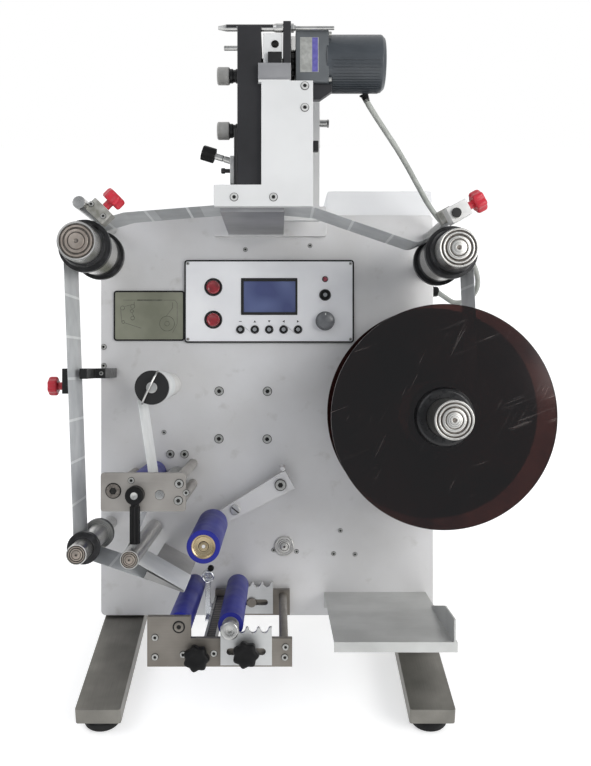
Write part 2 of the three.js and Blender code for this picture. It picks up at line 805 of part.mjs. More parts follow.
function pathOf(stations, stepAngle = 12) {
  const angles = stations.slice(1).map((to, i) => tangentAngle(stations[i], to));
  const path = [];
  stations.forEach((station, i) => {
    const start = i === 0 ? angles[0] - station.hand * (station.lead ?? 0) : angles[i - 1];
    const end = i === stations.length - 1 ? angles[i - 1] + station.hand * (station.tail ?? 0) : angles[i];
    let sweep = (end - start) * station.hand;
    while (sweep < -Math.PI / 90) sweep += Math.PI * 2;
    const steps = Math.max(1, Math.ceil(THREE.MathUtils.radToDeg(Math.max(sweep, 0)) / stepAngle));
    for (let k = 0; k <= steps; k += 1) {
      const turn = start + station.hand * sweep * k / steps;
      const reach = station.hand * station.radius;
      path.push([station.x + reach * Math.sin(turn), station.z - reach * Math.cos(turn)]);
    }
  });
  const spacing = ([x, z], [beforeX, beforeZ]) => Math.hypot(x - beforeX, z - beforeZ);
  return path.filter((point, i) => i === 0 || spacing(point, path[i - 1]) > webThickness / 10);
}

function strip(path) {
  const near = [];
  const far = [];
  path.forEach(([x, z], i) => {
    const before = path[Math.max(i - 1, 0)];
    const after = path[Math.min(i + 1, path.length - 1)];
    const along = new THREE.Vector2(after[0] - before[0], after[1] - before[1]).normalize();
    near.push([x - along.y * webThickness / 2, z + along.x * webThickness / 2]);
    far.push([x + along.y * webThickness / 2, z - along.x * webThickness / 2]);
  });
  return slab(outlineOf([...near, ...far.reverse()]), webWidth, webStart);
}

const upperStations = [
  { x: reelX, z: reelZ, radius: reelRollRadius + ride, hand: 1 },
  { x: rightIdlerX, z: rightIdlerZ, radius: upperBodyRadius + ride, hand: 1 },
  { x: sagX, z: sagZ + sagRadius, radius: sagRadius, hand: -1 },
  { x: coderExitX, z: coderExitZ - bendRadius, radius: bendRadius, hand: 1 },
  { x: coderRightX, z: upperWebZ - bendRadius, radius: bendRadius, hand: 1 },
  { x: coderLeftX, z: upperWebZ - bendRadius, radius: bendRadius, hand: 1 },
  { x: leftRunX, z: leftRunZ - bendRadius, radius: bendRadius, hand: 1 },
  { x: leftIdlerX, z: leftIdlerZ, radius: upperBodyRadius + ride, hand: 1, tail: Math.PI / 3 },
];
add(face, 'upper_label_web', strip(pathOf(upperStations)), labelPaper);

const lowerStations = [
  { x: leftIdlerX, z: leftIdlerZ, radius: upperBodyRadius + ride, hand: 1 },
  { x: lowerIdlerX, z: lowerIdlerZ, radius: lowerBodyRadius + ride, hand: 1 },
  { x: peelTipX, z: peelTipZ, radius: peelTipRadius, hand: 1 },
  { x: guideRollerX, z: guideRollerZ, radius: guideRollerRadius + ride, hand: -1 },
  { x: pinchX, z: pinchZ, radius: pinchRadius + ride, hand: 1 },
  { x: rewindX, z: rewindZ, radius: rewindRollRadius + ride, hand: -1, tail: Math.PI / 6 },
];
add(face, 'lower_label_web', strip(pathOf(lowerStations)), labelPaper);

// Peel plate: a wedge between the label web and the returning liner, carried on the face plate

const peelFrontOver = 4;
const peelLength = 46;
const peelClear = 1;

const returnAngle = tangentAngle(lowerStations[2], lowerStations[3]);
const arriveAngle = tangentAngle(lowerStations[1], lowerStations[2]) + Math.PI;
const peelHalf = peelTipRadius - webThickness / 2 - gap;
const returnNormal = new THREE.Vector2(Math.sin(returnAngle), -Math.cos(returnAngle));
const arriveNormal = new THREE.Vector2(-Math.sin(arriveAngle), Math.cos(arriveAngle));
const returnEnd = [
  peelTipX + Math.cos(returnAngle) * peelLength + returnNormal.x * (peelHalf - peelClear),
  peelTipZ + Math.sin(returnAngle) * peelLength + returnNormal.y * (peelHalf - peelClear),
];
const arriveEnd = [
  peelTipX + Math.cos(arriveAngle) * peelLength + arriveNormal.x * (peelHalf - peelClear),
  peelTipZ + Math.sin(arriveAngle) * peelLength + arriveNormal.y * (peelHalf - peelClear),
];
const peelOutline = outlineOf([
  [peelTipX + returnNormal.x * peelHalf, peelTipZ + returnNormal.y * peelHalf],
  returnEnd,
  arriveEnd,
  [peelTipX + arriveNormal.x * peelHalf, peelTipZ + arriveNormal.y * peelHalf],
]);
add(face, 'peel_plate', slab(peelOutline, webEnd + peelFrontOver - gap, gap), anodised);

// Tray: a bent sheet that takes the labelled bottle

const trayLeft = 73;
const trayRight = 203;
const trayZ = 28;
const trayReach = 217;
const traySheet = 2;
const trayLip = 9;
const trayFlange = 26;
const trayFlangeFlat = 56;
const trayFlangeRun = 94;
const trayHang = 18;

const trayFloor = block(trayLeft, trayZ, trayRight, trayZ + traySheet, trayReach - gap, gap);
const trayFront = block(trayLeft, trayZ - trayLip, trayRight, trayZ + traySheet,
  traySheet, trayReach - traySheet);
const trayBack = block(trayLeft, trayZ - trayHang, trayRight, trayZ + traySheet, traySheet, gap);
const flangeSide = outlineOf([
  [trayReach, 0],
  [trayReach, trayFlange],
  [trayReach - trayFlangeFlat, trayFlange],
  [trayReach - trayFlangeFlat - trayFlangeRun, traySheet],
  [trayReach - trayFlangeFlat - trayFlangeRun, 0],
]);
const flange = new THREE.ExtrudeGeometry(flangeSide, { depth: traySheet, bevelEnabled: false });
flange.rotateX(Math.PI / 2);
flange.rotateZ(-Math.PI / 2);
flange.translate(trayRight - traySheet, 0, trayZ);
add(face, 'bottle_tray', join(trayFloor, trayFront, trayBack, flange), sheetSteel);

// Main plate with the bores of every shaft, the arm's stop pin and the spare bearing seat

const spareX = 22;
const spareZ = 89;
const spareOuter = 12;
const spareInner = 6;
const spareHeight = 3;

const boreList = [
  [leftIdlerX, leftIdlerZ, upperJournal],
  [rightIdlerX, rightIdlerZ, upperJournal],
  [lowerIdlerX, lowerIdlerZ, lowerJournal],
  [guideRollerX, guideRollerZ, guideJournal],
  [reelX, reelZ, reelJournal],
  [rewindX, rewindZ, rewindJournal],
  [tractionX, tractionZ, axleRadius],
  [leverX, leverZ, leverJournal],
  [armPivotX, armPivotZ, armJournal],
  [leftRollerX, lowerRollerZ, bottleJournal],
];
const plateShape = roundedOutline(plateLeft, 0, plateRight, plateHeight, plateCorner);
for (const [x, z, radius] of boreList) {
  const hole = new THREE.Path();
  hole.absarc(x, z, radius + gap, 0, Math.PI * 2, true);
  plateShape.holes.push(hole);
}
const plateBody = join(
  slab(plateShape, plateThickness, -plateThickness),
  pin(stopPinRadius, -overrun, armStart + armThickness + washerHeight, stopPinX, stopPinZ, 12),
  turned(ringProfile(spareInner, spareOuter, -overrun, spareHeight), spareX, spareZ, 20),
);
add(face, 'main_plate', plateBody, anodised);

// Electrical housing behind the plate: a bent shell, open towards the plate where the plate covers it

const housingWall = 2;
const housingDepth = 95;
const housingLeft = -190;
const housingBottom = 140;
const housingTop = 495;
const towerLeft = 77;
const towerTop = 546;
const towerCorner = 16;
const windowMargin = 24;

const housingRight = plateRight;
const housingFront = -(plateThickness + gap);
function housingOutline(inset) {
  const corner = towerCorner - inset;
  const shape = new THREE.Shape();
  shape.moveTo(housingLeft + inset, housingBottom + inset);
  shape.lineTo(housingRight - inset, housingBottom + inset);
  shape.absarc(housingRight - towerCorner, towerTop - towerCorner, corner, 0, Math.PI / 2, false);
  shape.absarc(towerLeft + towerCorner, towerTop - towerCorner, corner, Math.PI / 2, Math.PI, false);
  shape.lineTo(towerLeft + inset, housingTop - inset);
  shape.lineTo(housingLeft + inset, housingTop - inset);
  shape.closePath();
  return shape;
}
const housingBody = cut(
  slab(housingOutline(0), housingDepth, housingFront - housingDepth, 6),
  slab(housingOutline(housingWall), housingDepth - housingWall * 2,
    housingFront - housingDepth + housingWall, 6),
  block(housingLeft + windowMargin, housingBottom + windowMargin, housingRight - windowMargin,
    housingTop - windowMargin, housingWall + overrun * 2, housingFront - housingWall - overrun),
);
add(face, 'rear_housing', housingBody, housingEnamel);

// Operating panels on the plate

const panelCentreX = 2.7;
const panelCentreZ = 402.3;
const panelWidth = 215;
const panelHeight = 104;
const panelThickness = 4;
const panelCorner = 3;
const displayWidth = 72;
const displayHeight = 47;
const displayRise = 6.2;
const displayDepth = 1.5;
const columnOffset = 71.4;
const rockerRadius = 9;
const rockerTilt = 8;
const upperRockerRise = 18.2;
const lowerRockerDrop = 23.4;
const keyRadius = 5.2;
const keyCount = 5;
const keyPitch = 18.4;
const keyDrop = 36;
const keyHeight = 4;
const startRadius = 7.2;
const startRise = 8.2;
const startHeight = 5;
const speedDrop = 25;
const speedRadius = 12.2;
const speedHeight = 14;
const speedSpindle = 3;
const capEdge = 0.8;
const buttonDepth = 1.6;
const infoPanelX = -151;
const infoPanelZ = 384;
const infoPanelWidth = 89;
const infoPanelHeight = 62.5;
const infoPanelThickness = 2;

const panelFront = gap + panelThickness;
const controls = [
  [-columnOffset, upperRockerRise, rockerRadius],
  [-columnOffset, -lowerRockerDrop, rockerRadius],
  [columnOffset, startRise, startRadius],
  [columnOffset, -speedDrop, speedSpindle],
  ...Array.from({ length: keyCount }, (_, i) => [(i - (keyCount - 1) / 2) * keyPitch, -keyDrop, keyRadius]),
];
const panelShape = roundedOutline(
  panelCentreX - panelWidth / 2, panelCentreZ - panelHeight / 2,
  panelCentreX + panelWidth / 2, panelCentreZ + panelHeight / 2, panelCorner,
);
for (const [dx, dz, radius] of controls) {
  const hole = new THREE.Path();
  hole.absarc(panelCentreX + dx, panelCentreZ + dz, radius + gap, 0, Math.PI * 2, true);
  panelShape.holes.push(hole);
}
const displayPocket = block(
  panelCentreX - displayWidth / 2, panelCentreZ + displayRise - displayHeight / 2,
  panelCentreX + displayWidth / 2, panelCentreZ + displayRise + displayHeight / 2,
  displayDepth + overrun, panelFront - displayDepth,
);
add(face, 'control_panel', cut(slab(panelShape, panelThickness, gap), displayPocket), panelAluminium);

function buttonProfile(radius, height) {
  return [
    [0, panelFront - buttonDepth],
    [radius, panelFront - buttonDepth],
    [radius, panelFront + height - capEdge],
    [radius - capEdge, panelFront + height],
    [0, panelFront + height],
  ];
}

// A rocker's rim is part of a ball about its pivot, so that it tips inside its round hole
const rimShares = [-0.26, 0, 0.26, 0.46];
const rockerProfile = [
  [0, rockerRadius * rimShares[0]],
  ...rimShares.map((share) => [rockerRadius * Math.sqrt(1 - share * share), rockerRadius * share]),
  [0, rockerRadius * rimShares[2]],
];
const rockers = [['power_switch', upperRockerRise], ['run_switch', -lowerRockerDrop]];
for (const [name, dz] of rockers) {
  const rocker = turned(rockerProfile, 0, 0, 20);
  rocker.rotateX(THREE.MathUtils.degToRad(rockerTilt));
  rocker.translate(panelCentreX - columnOffset, -panelFront, panelCentreZ + dz);
  add(face, name, rocker, redPlastic);
}
for (let i = 0; i < keyCount; i += 1) {
  const x = panelCentreX + (i - (keyCount - 1) / 2) * keyPitch;
  const key = turned(buttonProfile(keyRadius, keyHeight), x, panelCentreZ - keyDrop, 16);
  add(face, `key_${i + 1}`, key, blackNylon);
}
const rightColumn = panelCentreX + columnOffset;
const startProfile = buttonProfile(startRadius, startHeight);
add(face, 'start_button', turned(startProfile, rightColumn, panelCentreZ + startRise, 16), blackNylon);
const speedProfile = [
  [0, panelFront - buttonDepth],
  [speedSpindle, panelFront - buttonDepth],
  [speedSpindle, panelFront + gap],
  [speedRadius, panelFront + gap],
  [speedRadius - capEdge, panelFront + speedHeight - capEdge],
  [speedRadius - capEdge * 2, panelFront + speedHeight],
  [0, panelFront + speedHeight],
];
add(face, 'speed_knob', turned(speedProfile, rightColumn, panelCentreZ - speedDrop, 20), greyPlastic);

const infoOutline = roundedOutline(
  infoPanelX - infoPanelWidth / 2, infoPanelZ - infoPanelHeight / 2,
  infoPanelX + infoPanelWidth / 2, infoPanelZ + infoPanelHeight / 2, panelCorner,
);
add(face, 'info_panel', slab(infoOutline, infoPanelThickness, gap, 3), oliveFilm);

// Coder over the upper web: platen mount, white frame, black body, geared motor, spools, print head

const flangeLeft = -68;
const flangeRight = 75.5;
const flangeBottom = 485;
const flangeTop = 523;
const flangeThickness = 8;
const platenLeft = -49;
const platenRight = 21;
const platenBottom = 487;
const platenTop = 498.4;
const framePlate = 10;
const frameFrontEnd = 197;
const frameRearStart = 40;
const frameLeft = -55;
const frameRight = 51.5;
const frameBottom = 491;
const frameBaseTop = 514.4;
const uprightLeft = -4;
const uprightTop = 626;
const rearPlateRight = 65;
const rearPlateTop = 657;
const headTop = 644.7;
const headLeft = -7.4;
const headRight = 27;
const headNarrowRight = 19;
const bearingLeft = -2;
const bearingRight = 18.6;
const bearingTop = 680;
const bearingStart = 128;
const bearingLength = 60;
const shaftZ = 658.2;
const shaftW = 151;
const shaftRadius = 6;
const shelfBottom = 528;
const shelfTop = 540;
const shelfStart = 60;
const padWidth = 40;
const bodyLeft = -30;
const bodyBottom = 515.3;
const bodyTop = 687;
const bodyRear = 62;
const bodyFrontEnd = 190;
const rodZ = 686.5;
const rodW = 184.6;
const rodRadius = 3.8;
const rodTip = 21;
const rodCone = 9;
const thinRodRadius = 2.1;
const thinRodEnd = 75;
const lowRodW = 177.6;
const lowRodZ = 667;
const lowRodRadius = 2.8;
const lowRodLength = 15;
const gearPlateLeft = 19.6;
const gearPlateRight = 28;
const gearPlateTop = 692.5;
const couplingRadius = 15;
const couplingEnd = 33;
const gearSize = 58;
const gearLength = 36;
const gearCorner = 3;
const motorRadius = 31.4;
const motorLength = 63.5;
const motorEdge = 4;
const gearPlateOver = 2;
const spoolW = 140;
const tensionZ = 648;
const ribbonZ = 586;
const spoolShaft = 4;
const spoolKnobRadius = 10;
const spoolKnobLength = 14;
const spoolNeckRadius = 8;
const spoolNeckLength = 10;
const ribbonRadius = 16;
const ribbonLength = 44;
const headWidth = 36;
const headDepth = 70;
const headHeight = 12;
const headBottom = 503;
const headPinRadius = 3;
const headPinSpacing = 46;
const headPinCap = 5.5;
const headPinCapHeight = 4;
const headTravelRoom = 4;
const settingZ = 545;
const settingW = 160;
const settingTilt = 17;
const settingRodRadius = 3.5;
const settingRodLength = 26;
const settingKnobRadius = 8.5;
const settingKnobLength = 15;
const stubRadius = 4.6;
const stubLength = 9;
const stubZ = 619;
const gussetLeft = 44;
const gussetRight = 73;
const gussetFlat = 60;
const gussetBottom = 612;
const gussetRise = 9;
const gussetStart = 164.5;
const gussetDepth = 10;

const bodyRight = uprightLeft - gap;
const flangeOutline = roundedOutline(flangeLeft, flangeBottom, flangeRight, flangeTop, bracketCorner);
const flangePlate = slab(flangeOutline, flangeThickness, gap, 3);
const platenLip = block(platenLeft, platenBottom, platenRight, frameBaseTop - overrun,
  framePlate, frameFrontEnd - framePlate * 2 - gap);
const platen = block(platenLeft, platenBottom, platenRight, platenTop - gap,
  frameFrontEnd - framePlate - gap * 2, gap);
add(face, 'coder_mount', join(flangePlate, platen, platenLip), anodised);

const frameFrontStart = frameFrontEnd - framePlate;
const frontFrame = slab(outlineOf([
  [frameLeft, frameBottom],
  [frameRight, frameBottom],
  [frameRight, uprightTop],
  [uprightLeft, uprightTop],
  [uprightLeft, frameBaseTop],
  [frameLeft, frameBaseTop],
]), framePlate, frameFrontStart);
const rearFrame = block(uprightLeft, platenTop, rearPlateRight, rearPlateTop, framePlate, frameRearStart);
const headBlock = block(uprightLeft, uprightTop - overrun, headNarrowRight, headTop,
  frameFrontEnd - overrun - frameRearStart, frameRearStart);
const headFrontBlock = block(headLeft, uprightTop - overrun, headRight, headTop,
  frameFrontEnd - bodyFrontEnd - gap, bodyFrontEnd + gap);
const bearingBlock = block(bearingLeft, headTop - overrun, bearingRight, bearingTop,
  bearingLength, bearingStart);
const padLeft = uprightLeft + framePlate / 2;
const shelfBlock = block(padLeft, shelfBottom, padLeft + padWidth, shelfTop,
  frameFrontStart + overrun - frameRearStart - framePlate + overrun, frameRearStart + framePlate - overrun);
const headPinX = padLeft + padWidth / 2;
const headCentreW = webStart + webWidth / 2;
const headPinW = [headCentreW - headPinSpacing / 2, headCentreW + headPinSpacing / 2];

function post(radius, bottom, top, x, w, sides = 10) {
  const geometry = new THREE.CylinderGeometry(radius, radius, top - bottom, sides);
  geometry.rotateX(Math.PI / 2);
  geometry.translate(x, -w, (top + bottom) / 2);
  return geometry;
}

const stub = turnedAcross([[0, rearPlateRight - overrun], [stubRadius, rearPlateRight - overrun],
  [stubRadius, rearPlateRight + stubLength], [0, rearPlateRight + stubLength]],
frameRearStart + framePlate / 2, stubZ, 12);
const gearBottom = shaftZ - gearSize / 2;
const motorGusset = join(
  slab(outlineOf([
    [gussetLeft, gussetBottom],
    [gussetFlat, gussetBottom],
    [gussetRight, gussetBottom + gussetRise],
    [gussetRight, gearBottom - gap],
    [frameRight + gap, gearBottom - gap],
    [frameRight + gap, uprightTop - overrun],
    [gussetLeft, uprightTop - overrun],
  ]), gussetDepth, gussetStart),
  block(gussetLeft, gussetBottom, frameRight - overrun, uprightTop - overrun,
    frameFrontStart + overrun - gussetStart, gussetStart),
);
const frameParts = cut(
  join(frontFrame, rearFrame, headBlock, headFrontBlock, bearingBlock, shelfBlock, stub, motorGusset),
  turnedAcross([[0, headLeft - overrun], [shaftRadius + gap, headLeft - overrun],
    [shaftRadius + gap, headRight + overrun], [0, headRight + overrun]], shaftW, shaftZ, 16),
  ...headPinW.map((w) => post(headPinRadius + gap, shelfBottom - overrun, shelfTop + overrun, headPinX, w)),
);
add(face, 'coder_frame', frameParts, whiteEnamel);

const bodyBlock = block(bodyLeft, bodyBottom, bodyRight, bodyTop, bodyFrontEnd - bodyRear, bodyRear);
const gearPlateStart = shaftW - gearSize / 2 - gearPlateOver;
const gearPlate = block(gearPlateLeft, gearBottom - gearPlateOver, gearPlateRight, gearPlateTop,
  bodyFrontEnd - gearPlateStart, gearPlateStart);
const camShaft = turnedAcross([
  [0, bodyRight - overrun],
  [shaftRadius, bodyRight - overrun],
  [shaftRadius, gearPlateRight - overrun],
  [couplingRadius, gearPlateRight - overrun],
  [couplingRadius, couplingEnd],
  [0, couplingEnd],
], shaftW, shaftZ, 16);
const topRod = turnedAcross([
  [0, bodyLeft - rodTip],
  [rodRadius / 2, bodyLeft - rodTip],
  [rodRadius, bodyLeft - rodTip + rodCone],
  [rodRadius, gearPlateLeft + overrun],
  [thinRodRadius, gearPlateLeft + overrun],
  [thinRodRadius, thinRodEnd],
  [0, thinRodEnd],
], rodW, rodZ, 14);
const lowRod = turnedAcross([[0, bodyLeft - lowRodLength], [lowRodRadius, bodyLeft - lowRodLength],
  [lowRodRadius, bodyLeft + overrun], [0, bodyLeft + overrun]], lowRodW, lowRodZ, 10);
const spoolBores = [tensionZ, ribbonZ].map((z) => turnedAcross([
  [0, bodyLeft - overrun],
  [spoolShaft + gap, bodyLeft - overrun],
  [spoolShaft + gap, bodyRight + overrun],
  [0, bodyRight + overrun],
], spoolW, z, 16));
const coderBody = join(cut(bodyBlock, ...spoolBores), gearPlate, camShaft, topRod, lowRod);
add(face, 'coder_body', coderBody, blackAnodised);

const gearStart = couplingEnd + gap;
const gearShape = roundedOutline(-gearSize / 2, -gearSize / 2, gearSize / 2, gearSize / 2, gearCorner);
const gearDepth = { depth: gearLength, bevelEnabled: false, curveSegments: 3 };
const gearBox = new THREE.ExtrudeGeometry(gearShape, gearDepth);
gearBox.rotateY(Math.PI / 2);
gearBox.translate(gearStart, -shaftW, shaftZ);
const motorBody = turnedAcross([
  [0, gearStart + gearLength - overrun],
  [motorRadius, gearStart + gearLength - overrun],
  [motorRadius, gearStart + gearLength + motorLength - motorEdge],
  [motorRadius - motorEdge, gearStart + gearLength + motorLength],
  [0, gearStart + gearLength + motorLength],
], shaftW, shaftZ, 24);
add(face, 'coder_motor', join(gearBox, motorBody), greyEnamel);

// A spool knob outside the body, with its shaft through the body's bore
function knobProfile(shaftEnd) {
  const neck = bodyLeft - plateClear;
  return [
    [0, neck - spoolNeckLength - spoolKnobLength],
    [spoolKnobRadius, neck - spoolNeckLength - spoolKnobLength],
    [spoolKnobRadius, neck - spoolNeckLength],
    [spoolNeckRadius, neck - spoolNeckLength],
    [spoolNeckRadius, neck],
    [spoolShaft, neck],
    [spoolShaft, shaftEnd],
  ];
}
const tensionProfile = [...knobProfile(bodyRight), [0, bodyRight]];
const ribbonStart = bodyRight + plateClear + gap;
const ribbonProfile = [
  ...knobProfile(ribbonStart),
  [ribbonRadius, ribbonStart],
  [ribbonRadius, ribbonStart + ribbonLength],
  [0, ribbonStart + ribbonLength],
];
add(face, 'ribbon_tension_knob', turnedAcross(tensionProfile, spoolW, tensionZ, 14), greyPlastic);
add(face, 'ribbon_spool', turnedAcross(ribbonProfile, spoolW, ribbonZ, 16), greyPlastic);

const capBottom = shelfTop + headTravelRoom;
const headBody = join(
  block(headPinX - headWidth / 2, headBottom, headPinX + headWidth / 2, headBottom + headHeight,
    headDepth, headCentreW - headDepth / 2),
  ...headPinW.flatMap((w) => [
    post(headPinRadius, headBottom + headHeight - overrun, capBottom + overrun, headPinX, w),
    post(headPinCap, capBottom, capBottom + headPinCapHeight, headPinX, w),
  ]),
);
add(face, 'print_head', headBody, turnedAluminium);

const settingProfile = [
  [0, gap],
  [settingRodRadius, gap],
  [settingRodRadius, settingRodLength],
  [settingKnobRadius, settingRodLength],
  [settingKnobRadius, settingRodLength + settingKnobLength - capEdge],
  [settingKnobRadius - capEdge, settingRodLength + settingKnobLength],
  [0, settingRodLength + settingKnobLength],
];
const settingKnob = new THREE.LatheGeometry(settingProfile.map(([r, h]) => new THREE.Vector2(r, h)), 12);
const settingTurn = THREE.MathUtils.degToRad(settingTilt);
const settingLift = settingRodRadius * Math.tan(settingTurn);
settingKnob.translate(0, settingLift, 0);
settingKnob.rotateZ(Math.PI / 2);
settingKnob.rotateY(settingTurn);
settingKnob.translate(bodyLeft, -settingW, settingZ);
add(face, 'setting_knob', settingKnob, blackNylon);

// Clamp rods above the upper idlers, each with a clamp block and a red star knob

const clampReach = 200;
const clampBlockLength = 22;
const leftBlockStart = 163;
const rightBlockStart = 174;
const redStarRadius = 10.5;
const redStarHeight = 10;
const redHubRadius = 4.5;
const redHubHeight = 8;
const leftClampRadius = 7;
const leftClampRise = 43;
const rightClampRadius = 5.5;
const rightClampRise = 39;
const leftBlockAside = 18;
const leftBlockDrop = 7;
const leftBlockWidth = 16;
const leftBlockHeight = 26;
const leftBlockTurn = 45;
const rightBlockAside = 3.6;
const rightBlockRise = 2.6;
const rightBlockWidth = 24;
const rightBlockHeight = 18;
const rightBlockTurn = 28;
const lugAside = 7;
const lugRise = 1;
const lugWidth = 16;
const lugHeight = 15;
const lugLength = 12.4;

// A block set at a turn about the plate's normal: its width lies along the turned direction
function turnedBlock(x, z, width, height, turn, depth, w) {
  const body = block(-width / 2, -height / 2, width / 2, height / 2, depth, w);
  body.rotateY(-THREE.MathUtils.degToRad(turn));
  body.translate(x, 0, z);
  return body;
}

function redStar(x, z, w, turn, reach) {
  const knob = starKnob(redStarRadius, redStarHeight, redHubRadius, redHubHeight, 6);
  knob.rotateY(Math.PI / 2);
  knob.translate(reach + gap, 0, 0);
  knob.rotateY(-THREE.MathUtils.degToRad(turn));
  knob.translate(x, -w, z);
  return knob;
}

const leftRodZ = leftIdlerZ + leftClampRise;
const leftRod = pin(leftClampRadius, gap, clampReach, leftIdlerX, leftRodZ, 16);
const leftBlockX = leftIdlerX + leftBlockAside;
const leftBlockZ = leftRodZ - leftBlockDrop;
const leftClamp = join(
  leftRod,
  turnedBlock(leftBlockX, leftBlockZ, leftBlockWidth, leftBlockHeight, leftBlockTurn,
    clampBlockLength, leftBlockStart),
);
add(face, 'left_clamp_rod', leftClamp, turnedAluminium);
const leftStarKnob = redStar(leftBlockX, leftBlockZ, leftBlockStart + clampBlockLength / 2,
  leftBlockTurn, leftBlockWidth / 2);
add(face, 'left_clamp_knob', leftStarKnob, redPlastic);

const rightRodZ = rightIdlerZ + rightClampRise;
const rightBlockX = rightIdlerX + rightBlockAside;
const rightBlockZ = rightRodZ + rightBlockRise;
const rightClamp = join(
  pin(rightClampRadius, gap, clampReach, rightIdlerX, rightRodZ, 16),
  turnedBlock(rightBlockX, rightBlockZ, rightBlockWidth, rightBlockHeight, rightBlockTurn,
    clampBlockLength, rightBlockStart),
  turnedBlock(rightIdlerX - lugAside, rightRodZ + lugRise, lugWidth, lugHeight, rightBlockTurn,
    lugLength, rightBlockStart + overrun - lugLength),
);
add(face, 'right_clamp_rod', rightClamp, turnedAluminium);
const rightStarKnob = redStar(rightBlockX, rightBlockZ, rightBlockStart + clampBlockLength / 2,
  rightBlockTurn, rightBlockWidth / 2);
add(face, 'right_clamp_knob', rightStarKnob, redPlastic);

// Label sensor: a fork over the web's rear edge, on a bar from the plate, clamped by a red knob

const forkZ = 311;
const forkHeight = 12;
const forkArm = 9;
const forkThroat = 11;
const forkBack = 66;
const forkBridge = 14;
const forkReach = 128;
const sensorBarWidth = 12;
const sensorClampDrop = 17;
const sensorClampStart = 96;
const sensorKnobRadius = 10;
const sensorKnobHeight = 10;

const webAtFork = plateLeft + upperIdlerInset - upperBodyRadius
  + (leftIdlerZ - forkZ) * (upperBodyRadius - upperIdlerInset - lowerBodyRadius + lowerIdlerInset)
  / (leftIdlerZ - lowerIdlerZ);
const forkIn = webAtFork + forkThroat / 2;
const forkOut = webAtFork - forkThroat / 2;
const forkBottom = forkZ - forkHeight / 2;
const forkTop = forkZ + forkHeight / 2;
const sensorBody = join(
  block(forkOut - forkArm, forkBottom, forkIn + forkArm, forkTop, forkBridge, forkBack),
  block(forkOut - forkArm, forkBottom, forkOut, forkTop, forkReach - forkBack, forkBack),
  block(forkIn, forkBottom, forkIn + forkArm, forkTop, forkReach - forkBack, forkBack),
  block(forkIn + forkArm - overrun, forkBottom, forkIn + forkArm + sensorBarWidth, forkTop,
    forkBack + forkBridge - gap, gap),
  block(forkOut - forkArm, forkBottom - sensorClampDrop, forkOut, forkZ,
    forkReach - sensorClampStart, sensorClampStart),
);
add(face, 'label_sensor', sensorBody, blackNylon);
const sensorKnob = starKnob(sensorKnobRadius, sensorKnobHeight, redHubRadius, redHubHeight, 6);
sensorKnob.rotateY(-Math.PI / 2);
sensorKnob.translate(forkOut - forkArm - gap, -(sensorClampStart + forkReach) / 2,
  forkBottom - sensorClampDrop / 2);
add(face, 'sensor_knob', sensorKnob, redPlastic);

// Motor cable: from the motor's underside, behind the upper right idler and into the housing's side

const cableRadius = 3.2;
const cableUnit = 1;
const cableRoute = [
  [112, 626, 140],
  [115, 619, 139],
  [124, 607, 132],
  [137, 592, 120],
  [152, 575, 106],
  [168, 556, 88],
  [184, 536, 68],
  [200, 517, 48],
  [217, 500, 32],
  [236, 482, 20],
  [254, 462, 11],
  [267, 440, 5],
  [269, 420, 0],
  [259, 405, -7],
  [243, 402, -14],
  [229, 411, -20],
  [221, 417, -24],
  [213.4, 417, -25],
];
const cablePoints = cableRoute.map(([x, z, w]) => new THREE.Vector3(x, -w, z).multiplyScalar(cableUnit));
const cableCurve = new THREE.CatmullRomCurve3(cablePoints, false, 'centripetal');
add(face, 'motor_cable', tubeAlong(cableCurve, cableRadius, 30, 4), cableGrey);

// The row's origin is the middle of the whole machine's footprint, on the table

group.updateMatrixWorld(true);
const bounds = new THREE.Box3().setFromObject(group, true);
stand.position.x = -(bounds.min.x + bounds.max.x) / 2;
stand.position.y = -(bounds.min.y + bounds.max.y) / 2;
stand.position.z = -bounds.min.z;

export default group;
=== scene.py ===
"""Bottle labelling machine, desk type: what each piece looks like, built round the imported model.
The room is in metres. Work on the leaning face plate is in millimetres: x to the right of its middle,
w out from its front face, z up it from its lower edge."""

import math

import bmesh
import bpy
from mathutils import Euler, Matrix, Vector


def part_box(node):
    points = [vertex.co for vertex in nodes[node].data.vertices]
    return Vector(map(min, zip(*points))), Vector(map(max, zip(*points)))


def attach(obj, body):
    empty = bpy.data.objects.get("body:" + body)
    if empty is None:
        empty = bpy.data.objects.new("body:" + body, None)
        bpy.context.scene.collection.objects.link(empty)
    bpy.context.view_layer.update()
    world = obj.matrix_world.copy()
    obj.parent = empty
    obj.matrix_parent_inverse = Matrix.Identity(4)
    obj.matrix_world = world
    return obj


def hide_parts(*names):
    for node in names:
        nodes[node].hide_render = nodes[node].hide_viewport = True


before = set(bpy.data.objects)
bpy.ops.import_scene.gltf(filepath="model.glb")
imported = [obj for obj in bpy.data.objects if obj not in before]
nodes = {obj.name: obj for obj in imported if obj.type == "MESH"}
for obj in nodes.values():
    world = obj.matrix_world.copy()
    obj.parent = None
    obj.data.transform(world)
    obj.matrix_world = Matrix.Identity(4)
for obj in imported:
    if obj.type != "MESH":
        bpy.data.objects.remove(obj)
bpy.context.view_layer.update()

# Rubber feet. Four moulded nitrile rubber feet on M8 bolts, cast in a steel mould: matt black, with a
# tapered tread, a drip groove and a bolt recess underneath. They carry the two foot bars.

millimetre = 0.001
in_room = Matrix.Scale(millimetre, 4)
lean = math.radians(16)
plate_width, plate_height, plate_thickness = 426, 513, 10
low, high = (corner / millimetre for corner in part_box("main_plate"))
plate_foot = Vector((
    low.x + plate_width / 2,
    high.y - plate_thickness * math.cos(lean) - plate_height * math.sin(lean),
    low.z + plate_thickness * math.sin(lean),
))
on_face = in_room @ Matrix.Translation(plate_foot) @ Matrix.Rotation(-lean, 4, "X")


